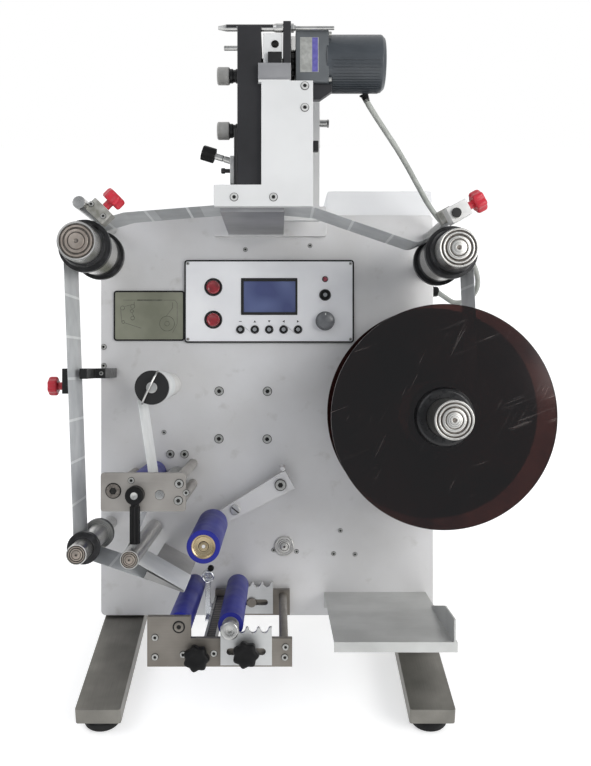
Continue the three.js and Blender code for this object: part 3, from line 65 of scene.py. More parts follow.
def linear(hex_colour):
    """sRGB hex to Blender's linear colour."""
    parts = [int(hex_colour[i:i + 2], 16) / 255 for i in (1, 3, 5)]
    return (*(c / 12.92 if c <= 0.04045 else ((c + 0.055) / 1.055) ** 2.4 for c in parts), 1)


def add_node(tree, kind, values=None, links=None):
    """A node with its settings and input values, and what feeds it: sockets, or nodes by their first output."""
    node = tree.nodes.new(kind)
    for key, value in (values or {}).items():
        if isinstance(key, str) and hasattr(node, key):
            setattr(node, key, value)
    for key, value in (values or {}).items():
        if isinstance(key, int) or not hasattr(node, key):
            node.inputs[key].default_value = value
    for key, feeds in (links or {}).items():
        for feed in feeds if isinstance(feeds, list) else [feeds]:
            socket = feed.outputs[0] if isinstance(feed, bpy.types.Node) else feed
            tree.links.new(socket, node.inputs[key])
    return node


def surface(name, colour, roughness, metallic=0.0, **sockets):
    """A material with its shader's own values set: returns it with its tree and its shader."""
    material = bpy.data.materials.new(name)
    material.use_nodes = True
    shader = material.node_tree.nodes["Principled BSDF"]
    shader.inputs["Base Color"].default_value = linear(colour)
    shader.inputs["Roughness"].default_value = roughness
    shader.inputs["Metallic"].default_value = metallic
    for socket, value in sockets.items():
        shader.inputs[socket.replace("_", " ")].default_value = value
    return material, material.node_tree, shader


def grain(tree, size, detail=2.0, stretch=(1, 1, 1), turn=(0.4, 0.5, 0.6)):
    """A cloudy pattern whose lumps are about size millimetres across, stretched along axes turned by turn."""
    fitted = add_node(tree, "ShaderNodeMapping", {
        "vector_type": "TEXTURE", "Scale": [1 / share for share in stretch], "Rotation": turn},
        {"Vector": add_node(tree, "ShaderNodeTexCoord").outputs["Object"]})
    return add_node(tree, "ShaderNodeTexNoise", {"Scale": 1 / (size * millimetre), "Detail": detail},
                    {"Vector": fitted})


def tint(tree, shader, pattern, low, high, start=0.35, end=0.65):
    """The base colour runs from low to high where the pattern runs from start to end."""
    ramp = add_node(tree, "ShaderNodeValToRGB", links={"Fac": pattern})
    for stop, place, colour in zip(ramp.color_ramp.elements, (start, end), (low, high)):
        stop.position, stop.color = place, linear(colour)
    tree.links.new(ramp.outputs[0], shader.inputs["Base Color"])
    return ramp


def overlay(tree, shader, colour_below, pattern, colour, start, end):
    """Marks of another colour over what is there, where the pattern passes start."""
    share = add_node(tree, "ShaderNodeMapRange", {"From Min": start, "From Max": end}, {"Value": pattern})
    mixed = add_node(tree, "ShaderNodeMix", {"data_type": "RGBA", 7: linear(colour)}, {0: share, 6: colour_below})
    tree.links.new(mixed.outputs[2], shader.inputs["Base Color"])


def polish(tree, shader, pattern, low, high, start=0.3, end=0.7, socket="Roughness"):
    """Roughness, or another of the shader's values, runs from low to high with the pattern."""
    spread = add_node(tree, "ShaderNodeMapRange",
                      {"From Min": start, "From Max": end, "To Min": low, "To Max": high}, {"Value": pattern})
    tree.links.new(spread.outputs[0], shader.inputs[socket])


def emboss(tree, shader, pattern, depth):
    """Raises the surface by the pattern, depth in millimetres."""
    bump = add_node(tree, "ShaderNodeBump", {"Distance": depth * millimetre}, {"Height": pattern})
    tree.links.new(bump.outputs[0], shader.inputs["Normal"])


def patterned(name, colour, roughness, metallic=0.0, mottled=None, worn=None, raised=None, **sockets):
    """A material with up to three patterns, each given by its lump in millimetres, its detail and its ends:
    mottled in colour, worn in roughness, raised by a depth."""
    material, tree, shader = surface(name, colour, roughness, metallic, **sockets)
    for put_on, pattern in ((tint, mottled), (polish, worn), (emboss, raised)):
        if pattern:
            put_on(tree, shader, grain(tree, *pattern[:2]), *pattern[2:])
    return material


def eased(profile, ease):
    """Rounds each corner of a turned outline. A point is (radius, height) or (radius, height, finish)."""
    finish, full, points = 0, [], []
    for point in profile:
        finish = point[2] if len(point) > 2 else finish
        full.append((Vector(point[:2]), finish))
    for i, (corner, finish) in enumerate(full):
        before, after = full[max(i - 1, 0)], full[min(i + 1, len(full) - 1)]
        back, ahead = before[0] - corner, after[0] - corner
        reach = min(ease, back.length * 0.45, ahead.length * 0.45)
        if reach < 0.02 or back.angle(ahead, math.pi) > math.radians(165):
            points.append((corner, finish))
            continue
        start, end = corner + back.normalized() * reach, corner + ahead.normalized() * reach
        points += [(start, before[1]), (start / 4 + corner / 2 + end / 4, finish), (end, finish)]
    return points


def around(sides):
    """The angles of a full turn in even steps."""
    return [2 * math.pi * k / sides for k in range(sides)]


def turn_on(shape, profile, place, sides=72, ease=0.5):
    """Adds a lathe-turned body to shape: its axis is the place's own z. The mesh keeps radius and height."""
    lathe = shape.verts.layers.float_vector.get("lathe") or shape.verts.layers.float_vector.new("lathe")
    rings = []
    for point, finish in eased(profile, ease):
        ring = [shape.verts.new(place @ Vector((point.x * math.cos(a), point.x * math.sin(a), point.y)))
                for a in (around(sides) if point.x > 0 else [0])]
        for vertex in ring:
            vertex[lathe] = (point.x, point.y, 0)
        rings.append((ring, finish))
    is_hollow = len(rings[0][0]) > 1 and len(rings[-1][0]) > 1
    for (low, finish), (high, _) in zip(rings, rings[1:] + rings[:1] if is_hollow else rings[1:]):
        for k in range(sides):
            n = (k + 1) % sides
            corners = dict.fromkeys((low[k % len(low)], low[n % len(low)], high[n % len(high)], high[k % len(high)]))
            if len(corners) > 2:
                shape.faces.new(list(corners)).material_index = finish


def plain_mesh(carrier):
    """The carrier's modifiers turned into its own mesh."""
    view = bpy.context.evaluated_depsgraph_get()
    mesh = bpy.data.meshes.new_from_object(carrier.evaluated_get(view), preserve_all_data_layers=True, depsgraph=view)
    carrier.modifiers.clear()
    carrier.data = mesh


def even_shading(piece, crease):
    """Smooth shading that stays flat on flat faces: each corner leans towards its larger faces."""
    piece.data.shade_smooth()
    piece.data.set_sharp_from_angle(angle=math.radians(crease))
    piece.modifiers.new("even", "WEIGHTED_NORMAL").keep_sharp = True
    plain_mesh(piece)


def finish_piece(name, shape, materials, body, stands_for=(), crease=30, space=on_face):
    """Turns a shape into a finished piece: its place in its mesh, its materials, body and the CAD nodes it stands
    for.
    """
    bmesh.ops.recalc_face_normals(shape, faces=shape.faces)
    mesh = bpy.data.meshes.new(name)
    shape.to_mesh(mesh)
    shape.free()
    mesh.transform(space)
    for material in materials:
        mesh.materials.append(material)
    piece = bpy.data.objects.new(name, mesh)
    bpy.context.scene.collection.objects.link(piece)
    even_shading(piece, crease)
    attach(piece, body)
    if stands_for:
        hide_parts(*stands_for)
    return piece


def turned_piece(name, materials, body, slot, stands_for, *lathes, space=on_face):
    """A piece made on the lathe. Each of its bodies is an outline, an axis, a number of sides and an ease."""
    shape = bmesh.new()
    for lathe in lathes:
        turn_on(shape, *lathe)
    return finish_piece(name, shape, materials, body, stands_for, space=space)


# Nitrile rubber: matt, a little grey from dust; grain 1.5 mm, coarser than the real moulding so it shows
rubber = patterned("nitrile_rubber_moulded", "#151516", 0.75, Specular_IOR_Level=0.3,
                   mottled=(14, 4, "#101011", "#242424"), raised=(1.5, 3, 0.15))

foot_profile = [(0, 3), (8, 3), (8, 0), (15.5, 0), (17.2, 1.1), (18.8, 2.2), (20, 4), (20, 10), (19.2, 10.8),
                (19.2, 12.2), (20, 13), (20, 15.6), (9, 16), (0, 16)]
for end in ("front", "rear"):
    for side in ("left", "right"):
        low, high = (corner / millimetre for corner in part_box(f"{end}_{side}_foot"))
        middle = Matrix.Translation(((low.x + high.x) / 2, (low.y + high.y) / 2, 0))
        turned_piece(f"{end}_{side}_rubber_foot", [rubber], "frame", "black_rubber", [f"{end}_{side}_foot"],
                     (foot_profile, middle, 64, 0.8), space=in_room)

# Foot bars. Flat aluminium bars with a welded gusset that carries the leaning plate, brushed along their
# length and clear anodised: a warm grey with fine lines that run front to back.

to_face = on_face.inverted()


def outward(x, z):
    """A lathe axis that stands out from the plate."""
    return Matrix.Translation((x, 0, z)) @ Matrix.Rotation(math.pi / 2, 4, "X")


def across(w, z):
    """A lathe axis that runs to the right."""
    return Matrix.Translation((0, -w, z)) @ Matrix.Rotation(math.pi / 2, 4, "Y")


sharp_edge = math.radians(35)


def ease_edges(shape, width):
    """Rounds every sharp edge."""
    sharp = [e for e in shape.edges if len(e.link_faces) == 2 and e.calc_face_angle(0) > sharp_edge]
    bmesh.ops.bevel(shape, geom=sharp, offset=width, offset_type="OFFSET", segments=2, profile=0.5,
                    affect="EDGES", clamp_overlap=False, material=-1)


def eased_copy(name, node, materials, body, width=0.5, choose=None, settle=None):
    """A merged copy of a CAD solid with rounded edges. choose gives a face's finish from its middle (x, w, z),
    and settle moves a corner of the solid."""
    shape = bmesh.new()
    shape.from_mesh(nodes[node].data)
    shape.transform(to_face)
    for vertex in shape.verts if settle else ():
        settle(vertex.co)
    bmesh.ops.remove_doubles(shape, verts=shape.verts, dist=0.002)
    bmesh.ops.dissolve_limit(shape, angle_limit=math.radians(0.6), verts=shape.verts, edges=shape.edges)
    ease_edges(shape, width)
    for face in shape.faces:
        middle = face.calc_center_median()
        face.material_index = choose(middle.x, -middle.y, middle.z) if choose else 0
    return finish_piece(name, shape, materials, body, [node])


def brushed(name, colour, low, high, roughness, along, line=0.9, metallic=1.0):
    """Metal brushed with a belt: long lines along one axis, drawn a line's width in millimetres, coarser than the
    real grain so that they show."""
    material, tree, shader = surface(name, colour, roughness, metallic)
    stretch = {"x": (0.02, 1, 1), "y": (1, 0.02, 1), "z": (1, 1, 0.02)}[along]
    lines = grain(tree, line, 3, stretch, (0, 0, 0))
    tint(tree, shader, grain(tree, 60, 3), low, high)
    polish(tree, shader, lines, roughness - 0.07, roughness + 0.09)
    emboss(tree, shader, lines, 0.02)
    return material


bar_aluminium = brushed("brushed_aluminium_bar", "#7c7a75", "#706e69", "#888680", 0.44, "y", metallic=0.85)
for side in ("left", "right"):
    eased_copy(f"{side}_brushed_foot_bar", f"{side}_foot_bar", [bar_aluminium], "frame",
               0.8)

# Face plate. A 10 mm aluminium plate, bead blasted and clear anodised: satin, with a faint cloudiness from
# the blasting and some handling marks. Bores take the shafts, and small dark tapped holes are left free.

plate_aluminium, tree, shader = surface("bead_blasted_aluminium", "#cfd0d3", 0.46, 0.6)
clouds = tint(tree, shader, grain(tree, 110, 4), "#cfcecd", "#dededf", 0.3, 0.7)
overlay(tree, shader, clouds, grain(tree, 22, 5), "#bcbab6", 0.62, 0.9)
polish(tree, shader, grain(tree, 1.1, 2), 0.4, 0.54)
emboss(tree, shader, grain(tree, 1.1, 2), 0.035)
eased_copy("face_plate", "main_plate", [plate_aluminium], "frame", 0.7)

# Screws. Stainless socket cap screws, one size for each joint, set in by Geometry Nodes: a turned head with
# a hexagon socket. Each list gives the places as x, z and w of the head's seat on the face.


def grown(name, points, tree, inputs, body, turns=None):
    """A piece made by a Geometry Nodes tree from points in the room, in metres."""
    mesh = bpy.data.meshes.new(name)
    mesh.from_pydata([tuple(p) for p in points], [], [])
    if turns:
        mesh.attributes.new("turn", "FLOAT_VECTOR", "POINT").data.foreach_set("vector", [v for t in turns for v in t])
    carrier = bpy.data.objects.new(name, mesh)
    bpy.context.scene.collection.objects.link(carrier)
    modifier = carrier.modifiers.new("grow", "NODES")
    modifier.node_group = tree
    sockets = {s.name: s.identifier for s in tree.interface.items_tree
               if s.item_type == "SOCKET" and s.in_out == "INPUT"}
    for label, value in inputs.items():
        modifier[sockets[label]] = value
    plain_mesh(carrier)
    even_shading(carrier, 30)
    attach(carrier, body)
    return carrier


def growing_tree(name, inputs):
    """A Geometry Nodes tree with named inputs, and its input and output nodes."""
    tree = bpy.data.node_groups.new(name, "GeometryNodeTree")
    tree.interface.new_socket("Geometry", in_out="INPUT", socket_type="NodeSocketGeometry")
    for label, (kind, value) in inputs.items():
        socket = tree.interface.new_socket(label, in_out="INPUT", socket_type=f"NodeSocket{kind}")
        if value is not None:
            socket.default_value = value
    tree.interface.new_socket("Geometry", in_out="OUTPUT", socket_type="NodeSocketGeometry")
    return tree, tree.nodes.new("NodeGroupInput").outputs, tree.nodes.new("NodeGroupOutput").inputs


def end_tree(tree, geometry, material, result):
    """Every tree ends here: its instances made real, and its material set."""
    real = add_node(tree, "GeometryNodeRealizeInstances", links={"Geometry": geometry})
    finished = add_node(tree, "GeometryNodeSetMaterial", links={"Geometry": real, "Material": material})
    tree.links.new(finished.outputs[0], result["Geometry"])
    return finished


screw_tree, given, result = growing_tree("socket_cap_screws", {
    "Head Radius": ("Float", 0.005), "Head Height": ("Float", 0.003), "Socket Radius": ("Float", 0.0028),
    "Facing": ("Vector", (0, 0, 0)), "Finish": ("Material", None), "Recess Shade Finish": ("Material", None)})
rim_radius, rim_height, half_height, shade_disc_radius, socket_shade_radius = (
    add_node(screw_tree, "ShaderNodeMath", {"operation": "MULTIPLY", 1: share}, {0: given[label]})
    for label, share in (("Head Radius", 0.86), ("Head Height", 1.22), ("Head Height", 0.5),
                         ("Head Radius", 1.15), ("Socket Radius", 0.97)))
shade_disc_depth = add_node(screw_tree, "ShaderNodeMath", {"operation": "MULTIPLY_ADD", 1: -0.5, 2: 0.0001},
                      {0: given["Head Height"]})
thin_disc = 0.3 * millimetre
head, rim, hexagon, seat, socket_shade = (
    add_node(screw_tree, "GeometryNodeMeshCylinder", {"Vertices": sides, "Depth": thin_disc}, sizes)
    for sides, sizes in ((28, {"Radius": given["Head Radius"], "Depth": given["Head Height"]}),
                         (28, {"Radius": rim_radius, "Depth": rim_height}),
                         (6, {"Radius": given["Socket Radius"], "Depth": given["Head Height"]}),
                         (28, {"Radius": shade_disc_radius}), (6, {"Radius": socket_shade_radius})))
cutter, placed_shade_disc = (
    add_node(screw_tree, "GeometryNodeTransform", links={
        "Geometry": part, "Translation": add_node(screw_tree, "ShaderNodeCombineXYZ", links={"Z": rise})})
    for part, rise in ((hexagon, half_height), (seat, shade_disc_depth)))
merged = add_node(screw_tree, "GeometryNodeMeshBoolean", {"operation": "UNION", "solver": "EXACT"},
                  {"Mesh 2": [head, rim]})
socketed = add_node(screw_tree, "GeometryNodeMeshBoolean", {"operation": "DIFFERENCE", "solver": "EXACT"},
                    {"Mesh 1": merged, "Mesh 2": cutter})
# Painted shade: a thin dark disc under the head stands for the shadow in the counterbore's gap round it, and a dark
# hexagon for the shade at the floor of the socket
shade_parts = add_node(screw_tree, "GeometryNodeJoinGeometry", links={0: [placed_shade_disc, socket_shade]})
both = [end_tree(screw_tree, add_node(screw_tree, "GeometryNodeInstanceOnPoints", links={
    "Points": given["Geometry"], "Instance": part, "Rotation": given["Facing"]}), given[label], result)
    for part, label in ((socketed, "Finish"), (shade_parts, "Recess Shade Finish"))]
screw_tree.links.new(add_node(screw_tree, "GeometryNodeJoinGeometry", links={0: both}).outputs[0], result["Geometry"])

# Stainless steel, machine turned: bright, with a slight grey and soft wear
stainless = patterned("stainless_steel_turned", "#b9b9b7", 0.27, 1.0, mottled=(14, 3, "#acacaa", "#c6c6c4"),
                      worn=(14, 3, 0.26, 0.33))
screw_steel = patterned("stainless_steel_screw", "#b3b3b0", 0.34, 0.75, mottled=(3, 3, "#a5a5a1", "#c0c0bd"))
# Blackened steel for the coder's bearing screw; the same near black is painted shade in the slot of the arm's slotted
# screw
blackened_steel_and_slot_shade = patterned("blackened_steel_and_painted_slot_shade", "#2b2a29", 0.38, 1.0, mottled=(3, 3, "#1f1e1e", "#3f3d3b"))
# Near black for painted shade: the gaps round the screw heads, their sockets, and the rings of the roller bearing's
# end
recess_shade_black = patterned("painted_shade_black", "#191817", 0.6, Specular_IOR_Level=0.3,
                         mottled=(3, 3, "#121211", "#242322"))

facing_out = (on_face.to_euler().x + math.pi / 2, 0, 0)
socket_share = 0.56


def set_screws(name, places, radius, height=3.0, finish=None, body="frame", facing=facing_out):
    """Socket cap screws with their seats at places (x, z, w) on the face."""
    lift = Euler(facing).to_matrix() @ Vector((0, 0, height / 2 * millimetre))
    return grown(name, [on_face @ Vector((x, -w, z)) + lift for x, z, w in places], screw_tree, {
        "Head Radius": radius * millimetre, "Head Height": height * millimetre,
        "Socket Radius": radius * socket_share * millimetre, "Facing": facing, "Finish": finish or screw_steel,
        "Recess Shade Finish": recess_shade_black}, body)


set_screws("plate_screws_large", [(-61.5, 287.5, 0), (0.4, 287.3, 0), (-61.8, 226.4, 0), (0, 226, 0)], 5.2, 2.4)
set_screws("plate_screws_small", [(93.9, 108.7, 0), (85.3, 79.1, 0), (112.7, 78.3, 0), (37.7, 81.9, 0),
                                  (8.5, 83.8, 0), (-103.6, 158.2, 0), (-132.2, 234.7, 0)], 2.6, 1.4)
set_screws("plate_screws_web_side", [(-124.1, 206.8, 0), (-105.9, 206.6, 0)], 4.6, 3)
set_screws("plate_upper_screws", [(-27.9, 469, 0), (55, 474, 0)], 2.5, 1.2)
set_screws("plate_edge_screws", [(-209.4, 344.2, 0), (-209.4, 320, 0)], 3.2, 2.6)

# Electrical housing. A folded and welded sheet-steel shell behind the plate, powder coated pale grey with a
# fine orange peel. Its back is a screwed cover with a field of louvres, an inlet for the mains lead and a fuse.

powder_coat = patterned("powder_coated_steel", "#f5f6f7", 0.5, mottled=(150, 4, "#f1f2f4", "#f7f8f9"),
                        worn=(2.4, 2, 0.42, 0.6), raised=(2.4, 2, 0.05))

tower_corners, corner_round = ((213, 546), (77, 546)), 16


def square_corner(point):
    """The shell's upper corners are folded nearly square: the outer round is drawn in to a radius of 4 mm."""
    for x, z in tower_corners:
        off = Vector((abs(point.x - x), abs(point.z - z)))
        on_round = abs((off - Vector((corner_round, corner_round))).length - corner_round) < 0.3
        if on_round and max(off) < corner_round - 0.1:
            point.x, point.z = x + (point.x - x) / 4, z + (point.z - z) / 4


eased_copy("electrical_housing", "rear_housing", [powder_coat], "frame", 1.2, settle=square_corner)

housing_back = -105.3
louvre_pitch, louvre_length, louvre_height, louvre_stand = 14, 64, 5, 2.2

louvre_tree, given, result = growing_tree("louvre_field", {
    "Columns": ("Int", 2), "Rows": ("Int", 8), "Pitch X": ("Float", 0.08), "Pitch Z": ("Float", 0.014),
    "Length": ("Float", 0.064), "Height": ("Float", 0.005), "Stand Off": ("Float", 0.002),
    "Facing": ("Vector", (0, 0, 0)), "Finish": ("Material", None)})
width, rise = (
    add_node(louvre_tree, "ShaderNodeMath", {"operation": "MULTIPLY"}, {
        0: add_node(louvre_tree, "ShaderNodeMath", {"operation": "SUBTRACT", 1: 1}, {0: given[count]}),
        1: given[pitch]})
    for count, pitch in (("Columns", "Pitch X"), ("Rows", "Pitch Z")))
field = add_node(louvre_tree, "GeometryNodeMeshGrid", links={
    "Size X": width, "Size Y": rise, "Vertices X": given["Columns"], "Vertices Y": given["Rows"]})
hood = add_node(louvre_tree, "GeometryNodeMeshCylinder", {"Vertices": 16, "Side Segments": 8},
                {"Radius": given["Height"], "Depth": given["Length"]})
laid = add_node(louvre_tree, "GeometryNodeTransform", {"Rotation": (0, math.pi / 2, 0)}, {"Geometry": hood})
stand_share = add_node(louvre_tree, "ShaderNodeMath", {"operation": "DIVIDE"}, {
    0: given["Stand Off"], 1: given["Height"]})
flattening = add_node(louvre_tree, "ShaderNodeCombineXYZ", {"X": 1.0, "Y": 1.0}, {"Z": stand_share})
flat = add_node(louvre_tree, "GeometryNodeTransform", links={"Geometry": laid, "Scale": flattening})
rows = add_node(louvre_tree, "GeometryNodeInstanceOnPoints", links={"Points": field, "Instance": flat})


def stand_up(tree, rows, given):
    """The rows made real, turned to their facing and set at the given points."""
    real = add_node(tree, "GeometryNodeRealizeInstances", links={"Geometry": rows})
    stood = add_node(tree, "GeometryNodeTransform", links={"Geometry": real, "Rotation": given["Facing"]})
    return add_node(tree, "GeometryNodeInstanceOnPoints", links={"Points": given["Geometry"], "Instance": stood})


end_tree(louvre_tree, stand_up(louvre_tree, rows, given), given["Finish"], result)
grown("rear_louvres", [on_face @ Vector((-70, -housing_back, 245))], louvre_tree, {
    "Columns": 2, "Rows": 8, "Pitch X": 0.1, "Pitch Z": louvre_pitch * millimetre,
    "Length": louvre_length * millimetre, "Height": louvre_height * millimetre,
    "Stand Off": louvre_stand * millimetre, "Facing": (math.pi / 2 - lean, 0, 0), "Finish": powder_coat},
    "frame")

cover_edge = 12
cover_right = 213 - cover_edge
set_screws("rear_cover_screws", [*((x, z, housing_back) for x in (-190 + cover_edge, 11.5, cover_right)
                                   for z in (140 + cover_edge, 495 - cover_edge)),
                                 (cover_right, 530, housing_back), (90, 530, housing_back)],
           4, 2.6, facing=(math.pi * 1.5 - lean, 0, 0))


def place_block(shape, left, right, low, high, back, front, ease=0.5, finish=0, turn=None):
    """Adds a block with eased edges, given by its sides on the face: x, z and w."""
    made = bmesh.ops.create_cube(shape, size=1)["verts"]
    scale = Matrix.Diagonal((right - left, front - back, high - low, 1))
    place = Matrix.Translation(((left + right) / 2, -(back + front) / 2, (low + high) / 2)) @ (turn or Matrix())
    bmesh.ops.transform(shape, matrix=place @ scale, verts=made)
    sides = list({f for v in made for f in v.link_faces})
    for side in sides:
        side.material_index = finish
    if ease:
        bmesh.ops.bevel(shape, geom=list({e for f in sides for e in f.edges}), offset=ease, offset_type="OFFSET",
                        segments=2, profile=0.5, affect="EDGES", clamp_overlap=True, material=finish)


# Mains inlet in the back: a black moulded frame, a hollow with three flat pins, and a fuse drawer above it
glossy_abs = patterned("black_abs_moulded", "#19191a", 0.38, Specular_IOR_Level=0.4, worn=(6, 3, 0.32, 0.46))
inlet_x, inlet_z = 150, 185
inlet = bmesh.new()
for left, right, low, high, depth, front, ease, finish in (
        (-15, -11.5, -20, 26, 4, 0.2, 0.8, 0), (11.5, 15, -20, 26, 4, 0.2, 0.8, 0),
        (-12, 12, -20, -12.5, 4, 0.2, 0.8, 0), (-12, 12, 8.5, 26, 4, 0.2, 0.8, 0),
        (-12, 12, -13, 9, 0.6, 0.2, 0, 0), (-9, 9, 12, 22, 5.2, -3, 0.6, 0), (-6.9, -5.1, -6, -2, 3.6, 0, 0.3, 1),
        (5.1, 6.9, -6, -2, 3.6, 0, 0.3, 1), (-0.9, 0.9, 0, 4, 3.6, 0, 0.3, 1)):
    place_block(inlet, inlet_x + left, inlet_x + right, inlet_z + low, inlet_z + high,
                housing_back - depth, housing_back + front, ease, finish)
finish_piece("mains_inlet", inlet, [glossy_abs, stainless], "frame")

# Control panel. A 4 mm aluminium panel with a fine satin finish under clear lacquer, cut for its display,
# keys and switches, and edged all round with a black rubber trim. Small black screws hold its corners.

panel_x, panel_z, panel_front = 2.7, 402.3, 4.3
panel_width, panel_height = 215, 104
column = 71.4
panel_satin = brushed("satin_lacquered_aluminium", "#f0f1f4", "#ebecef", "#f4f5f7", 0.42, "x", 0.8, 0.05)
eased_copy("control_panel_plate", "control_panel", [panel_satin], "frame", 0.35)


def rounded_loop(left, bottom, right, top, radius, steps=6):
    """A rounded rectangle as points (x, z), counterclockwise."""
    corners = ((right - radius, bottom + radius, -90), (right - radius, top - radius, 0),
               (left + radius, top - radius, 90), (left + radius, bottom + radius, 180))
    return [(x + radius * math.cos(math.radians(start + 90 * k / steps)),
             z + radius * math.sin(math.radians(start + 90 * k / steps)))
            for x, z, start in corners for k in range(steps + 1)]


def skin(shape, rings, finish=0, closed=False):
    """Joins rings of as many corners by faces and fills the end rings, or joins these too. finish may be a list."""
    steps = finish if isinstance(finish, list) else [finish] * len(rings)
    for low, high, step in zip(rings, rings[1:] + rings[:1] if closed else rings[1:], steps):
        for k in range(len(low)):
            n = (k + 1) % len(low)
            shape.faces.new((low[k], low[n], high[n], high[k])).material_index = step
    for cap in () if closed else (rings[0][::-1], rings[-1]):
        shape.faces.new(cap).material_index = steps[0]


def place_frame(shape, outer, inner, back, front, finish=0):
    """Adds a flat ring between two loops of as many points."""
    skin(shape, [[shape.verts.new((x, -w, z)) for x, z in loop]
                 for loop, w in ((outer, back), (outer, front), (inner, front), (inner, back))], finish, True)


def place_slab(shape, loop, back, front, finish=0):
    """Adds a flat plate with the loop as its outline."""
    skin(shape, [[shape.verts.new((x, -w, z)) for x, z in loop] for w in (back, front)], finish)


def panel_trim(name, x, z, width, height, front):
    """The rubber edge round a panel."""
    outer, inner = (
        rounded_loop(x - width / 2 - by, z - height / 2 - by, x + width / 2 + by, z + height / 2 + by, radius)
        for by, radius in ((0.9, 3.9), (-1.1, 2)))
    trim = bmesh.new()
    place_frame(trim, outer, inner, 0.2, front + 0.25)
    finish_piece(name, trim, [rubber], "frame")


panel_trim("control_panel_trim", panel_x, panel_z, panel_width, panel_height, panel_front)
set_screws("control_panel_screws", [
    (panel_x + sx * (panel_width / 2 - 3.6), panel_z + sz * (panel_height / 2 - 3.6), panel_front)
    for sx in (-1, 1) for sz in (-1, 1)], 1.7, 0.9)

# Display. A blue backlit liquid crystal module under a thin acrylic window,
# in a black pressed frame.

display_z = panel_z + 6.2
lcd_glass = patterned("blue_liquid_crystal", "#525e90", 0.22, Coat_Weight=1.0, Coat_Roughness=0.04,
                      mottled=(45, 1, "#3b4679", "#5a6795"))
bezel_outer, bezel_inner, window = (
    rounded_loop(panel_x + left, display_z + bottom, panel_x + right, display_z + top, 0.6, 2)
    for left, bottom, right, top in ((-36, -23.5, 36, 23.5), (-32.5, -20, 33.5, 19.4), (-34, -21, 35, 21)))
display = bmesh.new()
place_frame(display, bezel_outer, bezel_inner, panel_front - 1.4, panel_front + 0.5)
place_slab(display, window, panel_front - 1.45, panel_front - 0.5, 1)
finish_piece("display_module", display, [glossy_abs, lcd_glass], "frame")

# Rocker switches. Round illuminated rockers: a clear red polycarbonate paddle
# that tips in a black bezel ring.

red_lens = patterned("red_polycarbonate_lens", "#8a0f1e", 0.25, Coat_Weight=0.6, Coat_Roughness=0.08,
                     mottled=(9, 1, "#730b17", "#9c1728", 0.3, 0.7))
rocker_tilt = math.radians(8)
rocker_profile = [(0, -2.34), (8.6, -2.34, 1), (8.95, -1.2), (9.0, 0), (8.69, 2.34, 0), (7.99, 4.14), (6.4, 4.3),
                  (5.8, 3.9), (0, 3.5)]
bezel_profile = [(9.35, 3.4), (9.35, 5.4), (10.2, 6), (11.4, 5.2), (11.6, 4.2), (11.6, 3.4)]
for name, rise in {"power_switch": 18.2, "run_switch": -23.4}.items():
    pivot = outward(panel_x - column, panel_z + rise)
    tipped = Matrix.Translation((0, -panel_front, 0)) @ pivot @ Matrix.Rotation(rocker_tilt, 4, "X")
    turned_piece(f"{name}_paddle", [red_lens, glossy_abs], name, "red_plastic", [name],
                 (rocker_profile, tipped, 48, 0.4))
    turned_piece(f"{name}_bezel", [glossy_abs], "frame", "black_nylon", [], (bezel_profile, pivot, 56, 0.3))

# Keys, start button, lamp and speed knob. Black moulded nylon caps in thin bezels; the speed knob is grey,
# with a domed cap, a fluted skirt and a white pointer.

nylon = patterned("black_nylon_moulded", "#0e0e0f", 0.5, Specular_IOR_Level=0.2,
                  mottled=(12, 4, "#070708", "#101011"), raised=(0.9, 2, 0.03))
ink = patterned("black_screen_ink", "#26262a", 0.6, mottled=(2, 2, "#1e1e22", "#36363b"))
# Grey for the start button's insert, and for the painted highlight at the middle of each key's dome
grey_insert_and_key_highlight = patterned("grey_insert_and_painted_key_highlight", "#8c8f92", 0.35, worn=(3, 2, 0.28, 0.44))

key_places = [(panel_x + (i - 2) * 18.4, panel_z - 36) for i in range(5)]
start_place = (panel_x + column, panel_z + 8.2)
# Each key's dome has a grey centre: a painted highlight
for i, place in enumerate(key_places):
    turned_piece(f"key_{i + 1}_cap", [nylon, grey_insert_and_key_highlight], f"key_{i + 1}", "black_nylon", [f"key_{i + 1}"], (
        [(0, 2.7), (4.4, 2.7), (4.4, 7), (3.8, 8.1), (2.6, 8.3, 1), (1.6, 8.1), (0, 8)], outward(*place), 40, 0.3))
turned_piece("start_button_cap", [nylon, grey_insert_and_key_highlight], "start_button", "black_nylon", ["start_button"], (
    [(0, 2.7), (6.4, 2.7), (6.4, 7.6), (5.6, 9), (4.4, 9.2), (4, 8.3), (2.6, 8.1, 1), (0, 8.2)],
    outward(*start_place), 48, 0.3))
turned_piece("key_bezels", [glossy_abs], "frame", "black_nylon", [], *(
    ([(radius, 3.6), (radius, 5.3), (radius + 0.5, 5.2), (radius + 0.8, 4.4), (radius + 0.8, 3.6)],
     outward(*place), 40, 0.2) for place, radius in [*((place, 4.6) for place in key_places), (start_place, 6.6)]))

lamp_red = patterned("red_signal_lamp_lens", "#7c1f30", 0.2, Coat_Weight=0.8, mottled=(3, 1, "#641628", "#94283c"))
turned_piece("signal_lamp", [lamp_red, glossy_abs], "frame", "red_plastic", [], (
    [(0, 3.8), (3.9, 3.8, 1), (3.9, 5), (3, 5.4, 0), (2.6, 6.2), (1.4, 6.9), (0, 7.1)],
    outward(panel_x + column, panel_z + 28.4), 32, 0.2))

knob_grey = patterned("grey_abs_moulded", "#6b6e71", 0.32, Coat_Weight=0.3, mottled=(8, 3, "#626568", "#77797c"))
white_ink = patterned("white_ink", "#d9d9d6", 0.5, worn=(2, 2, 0.4, 0.6))


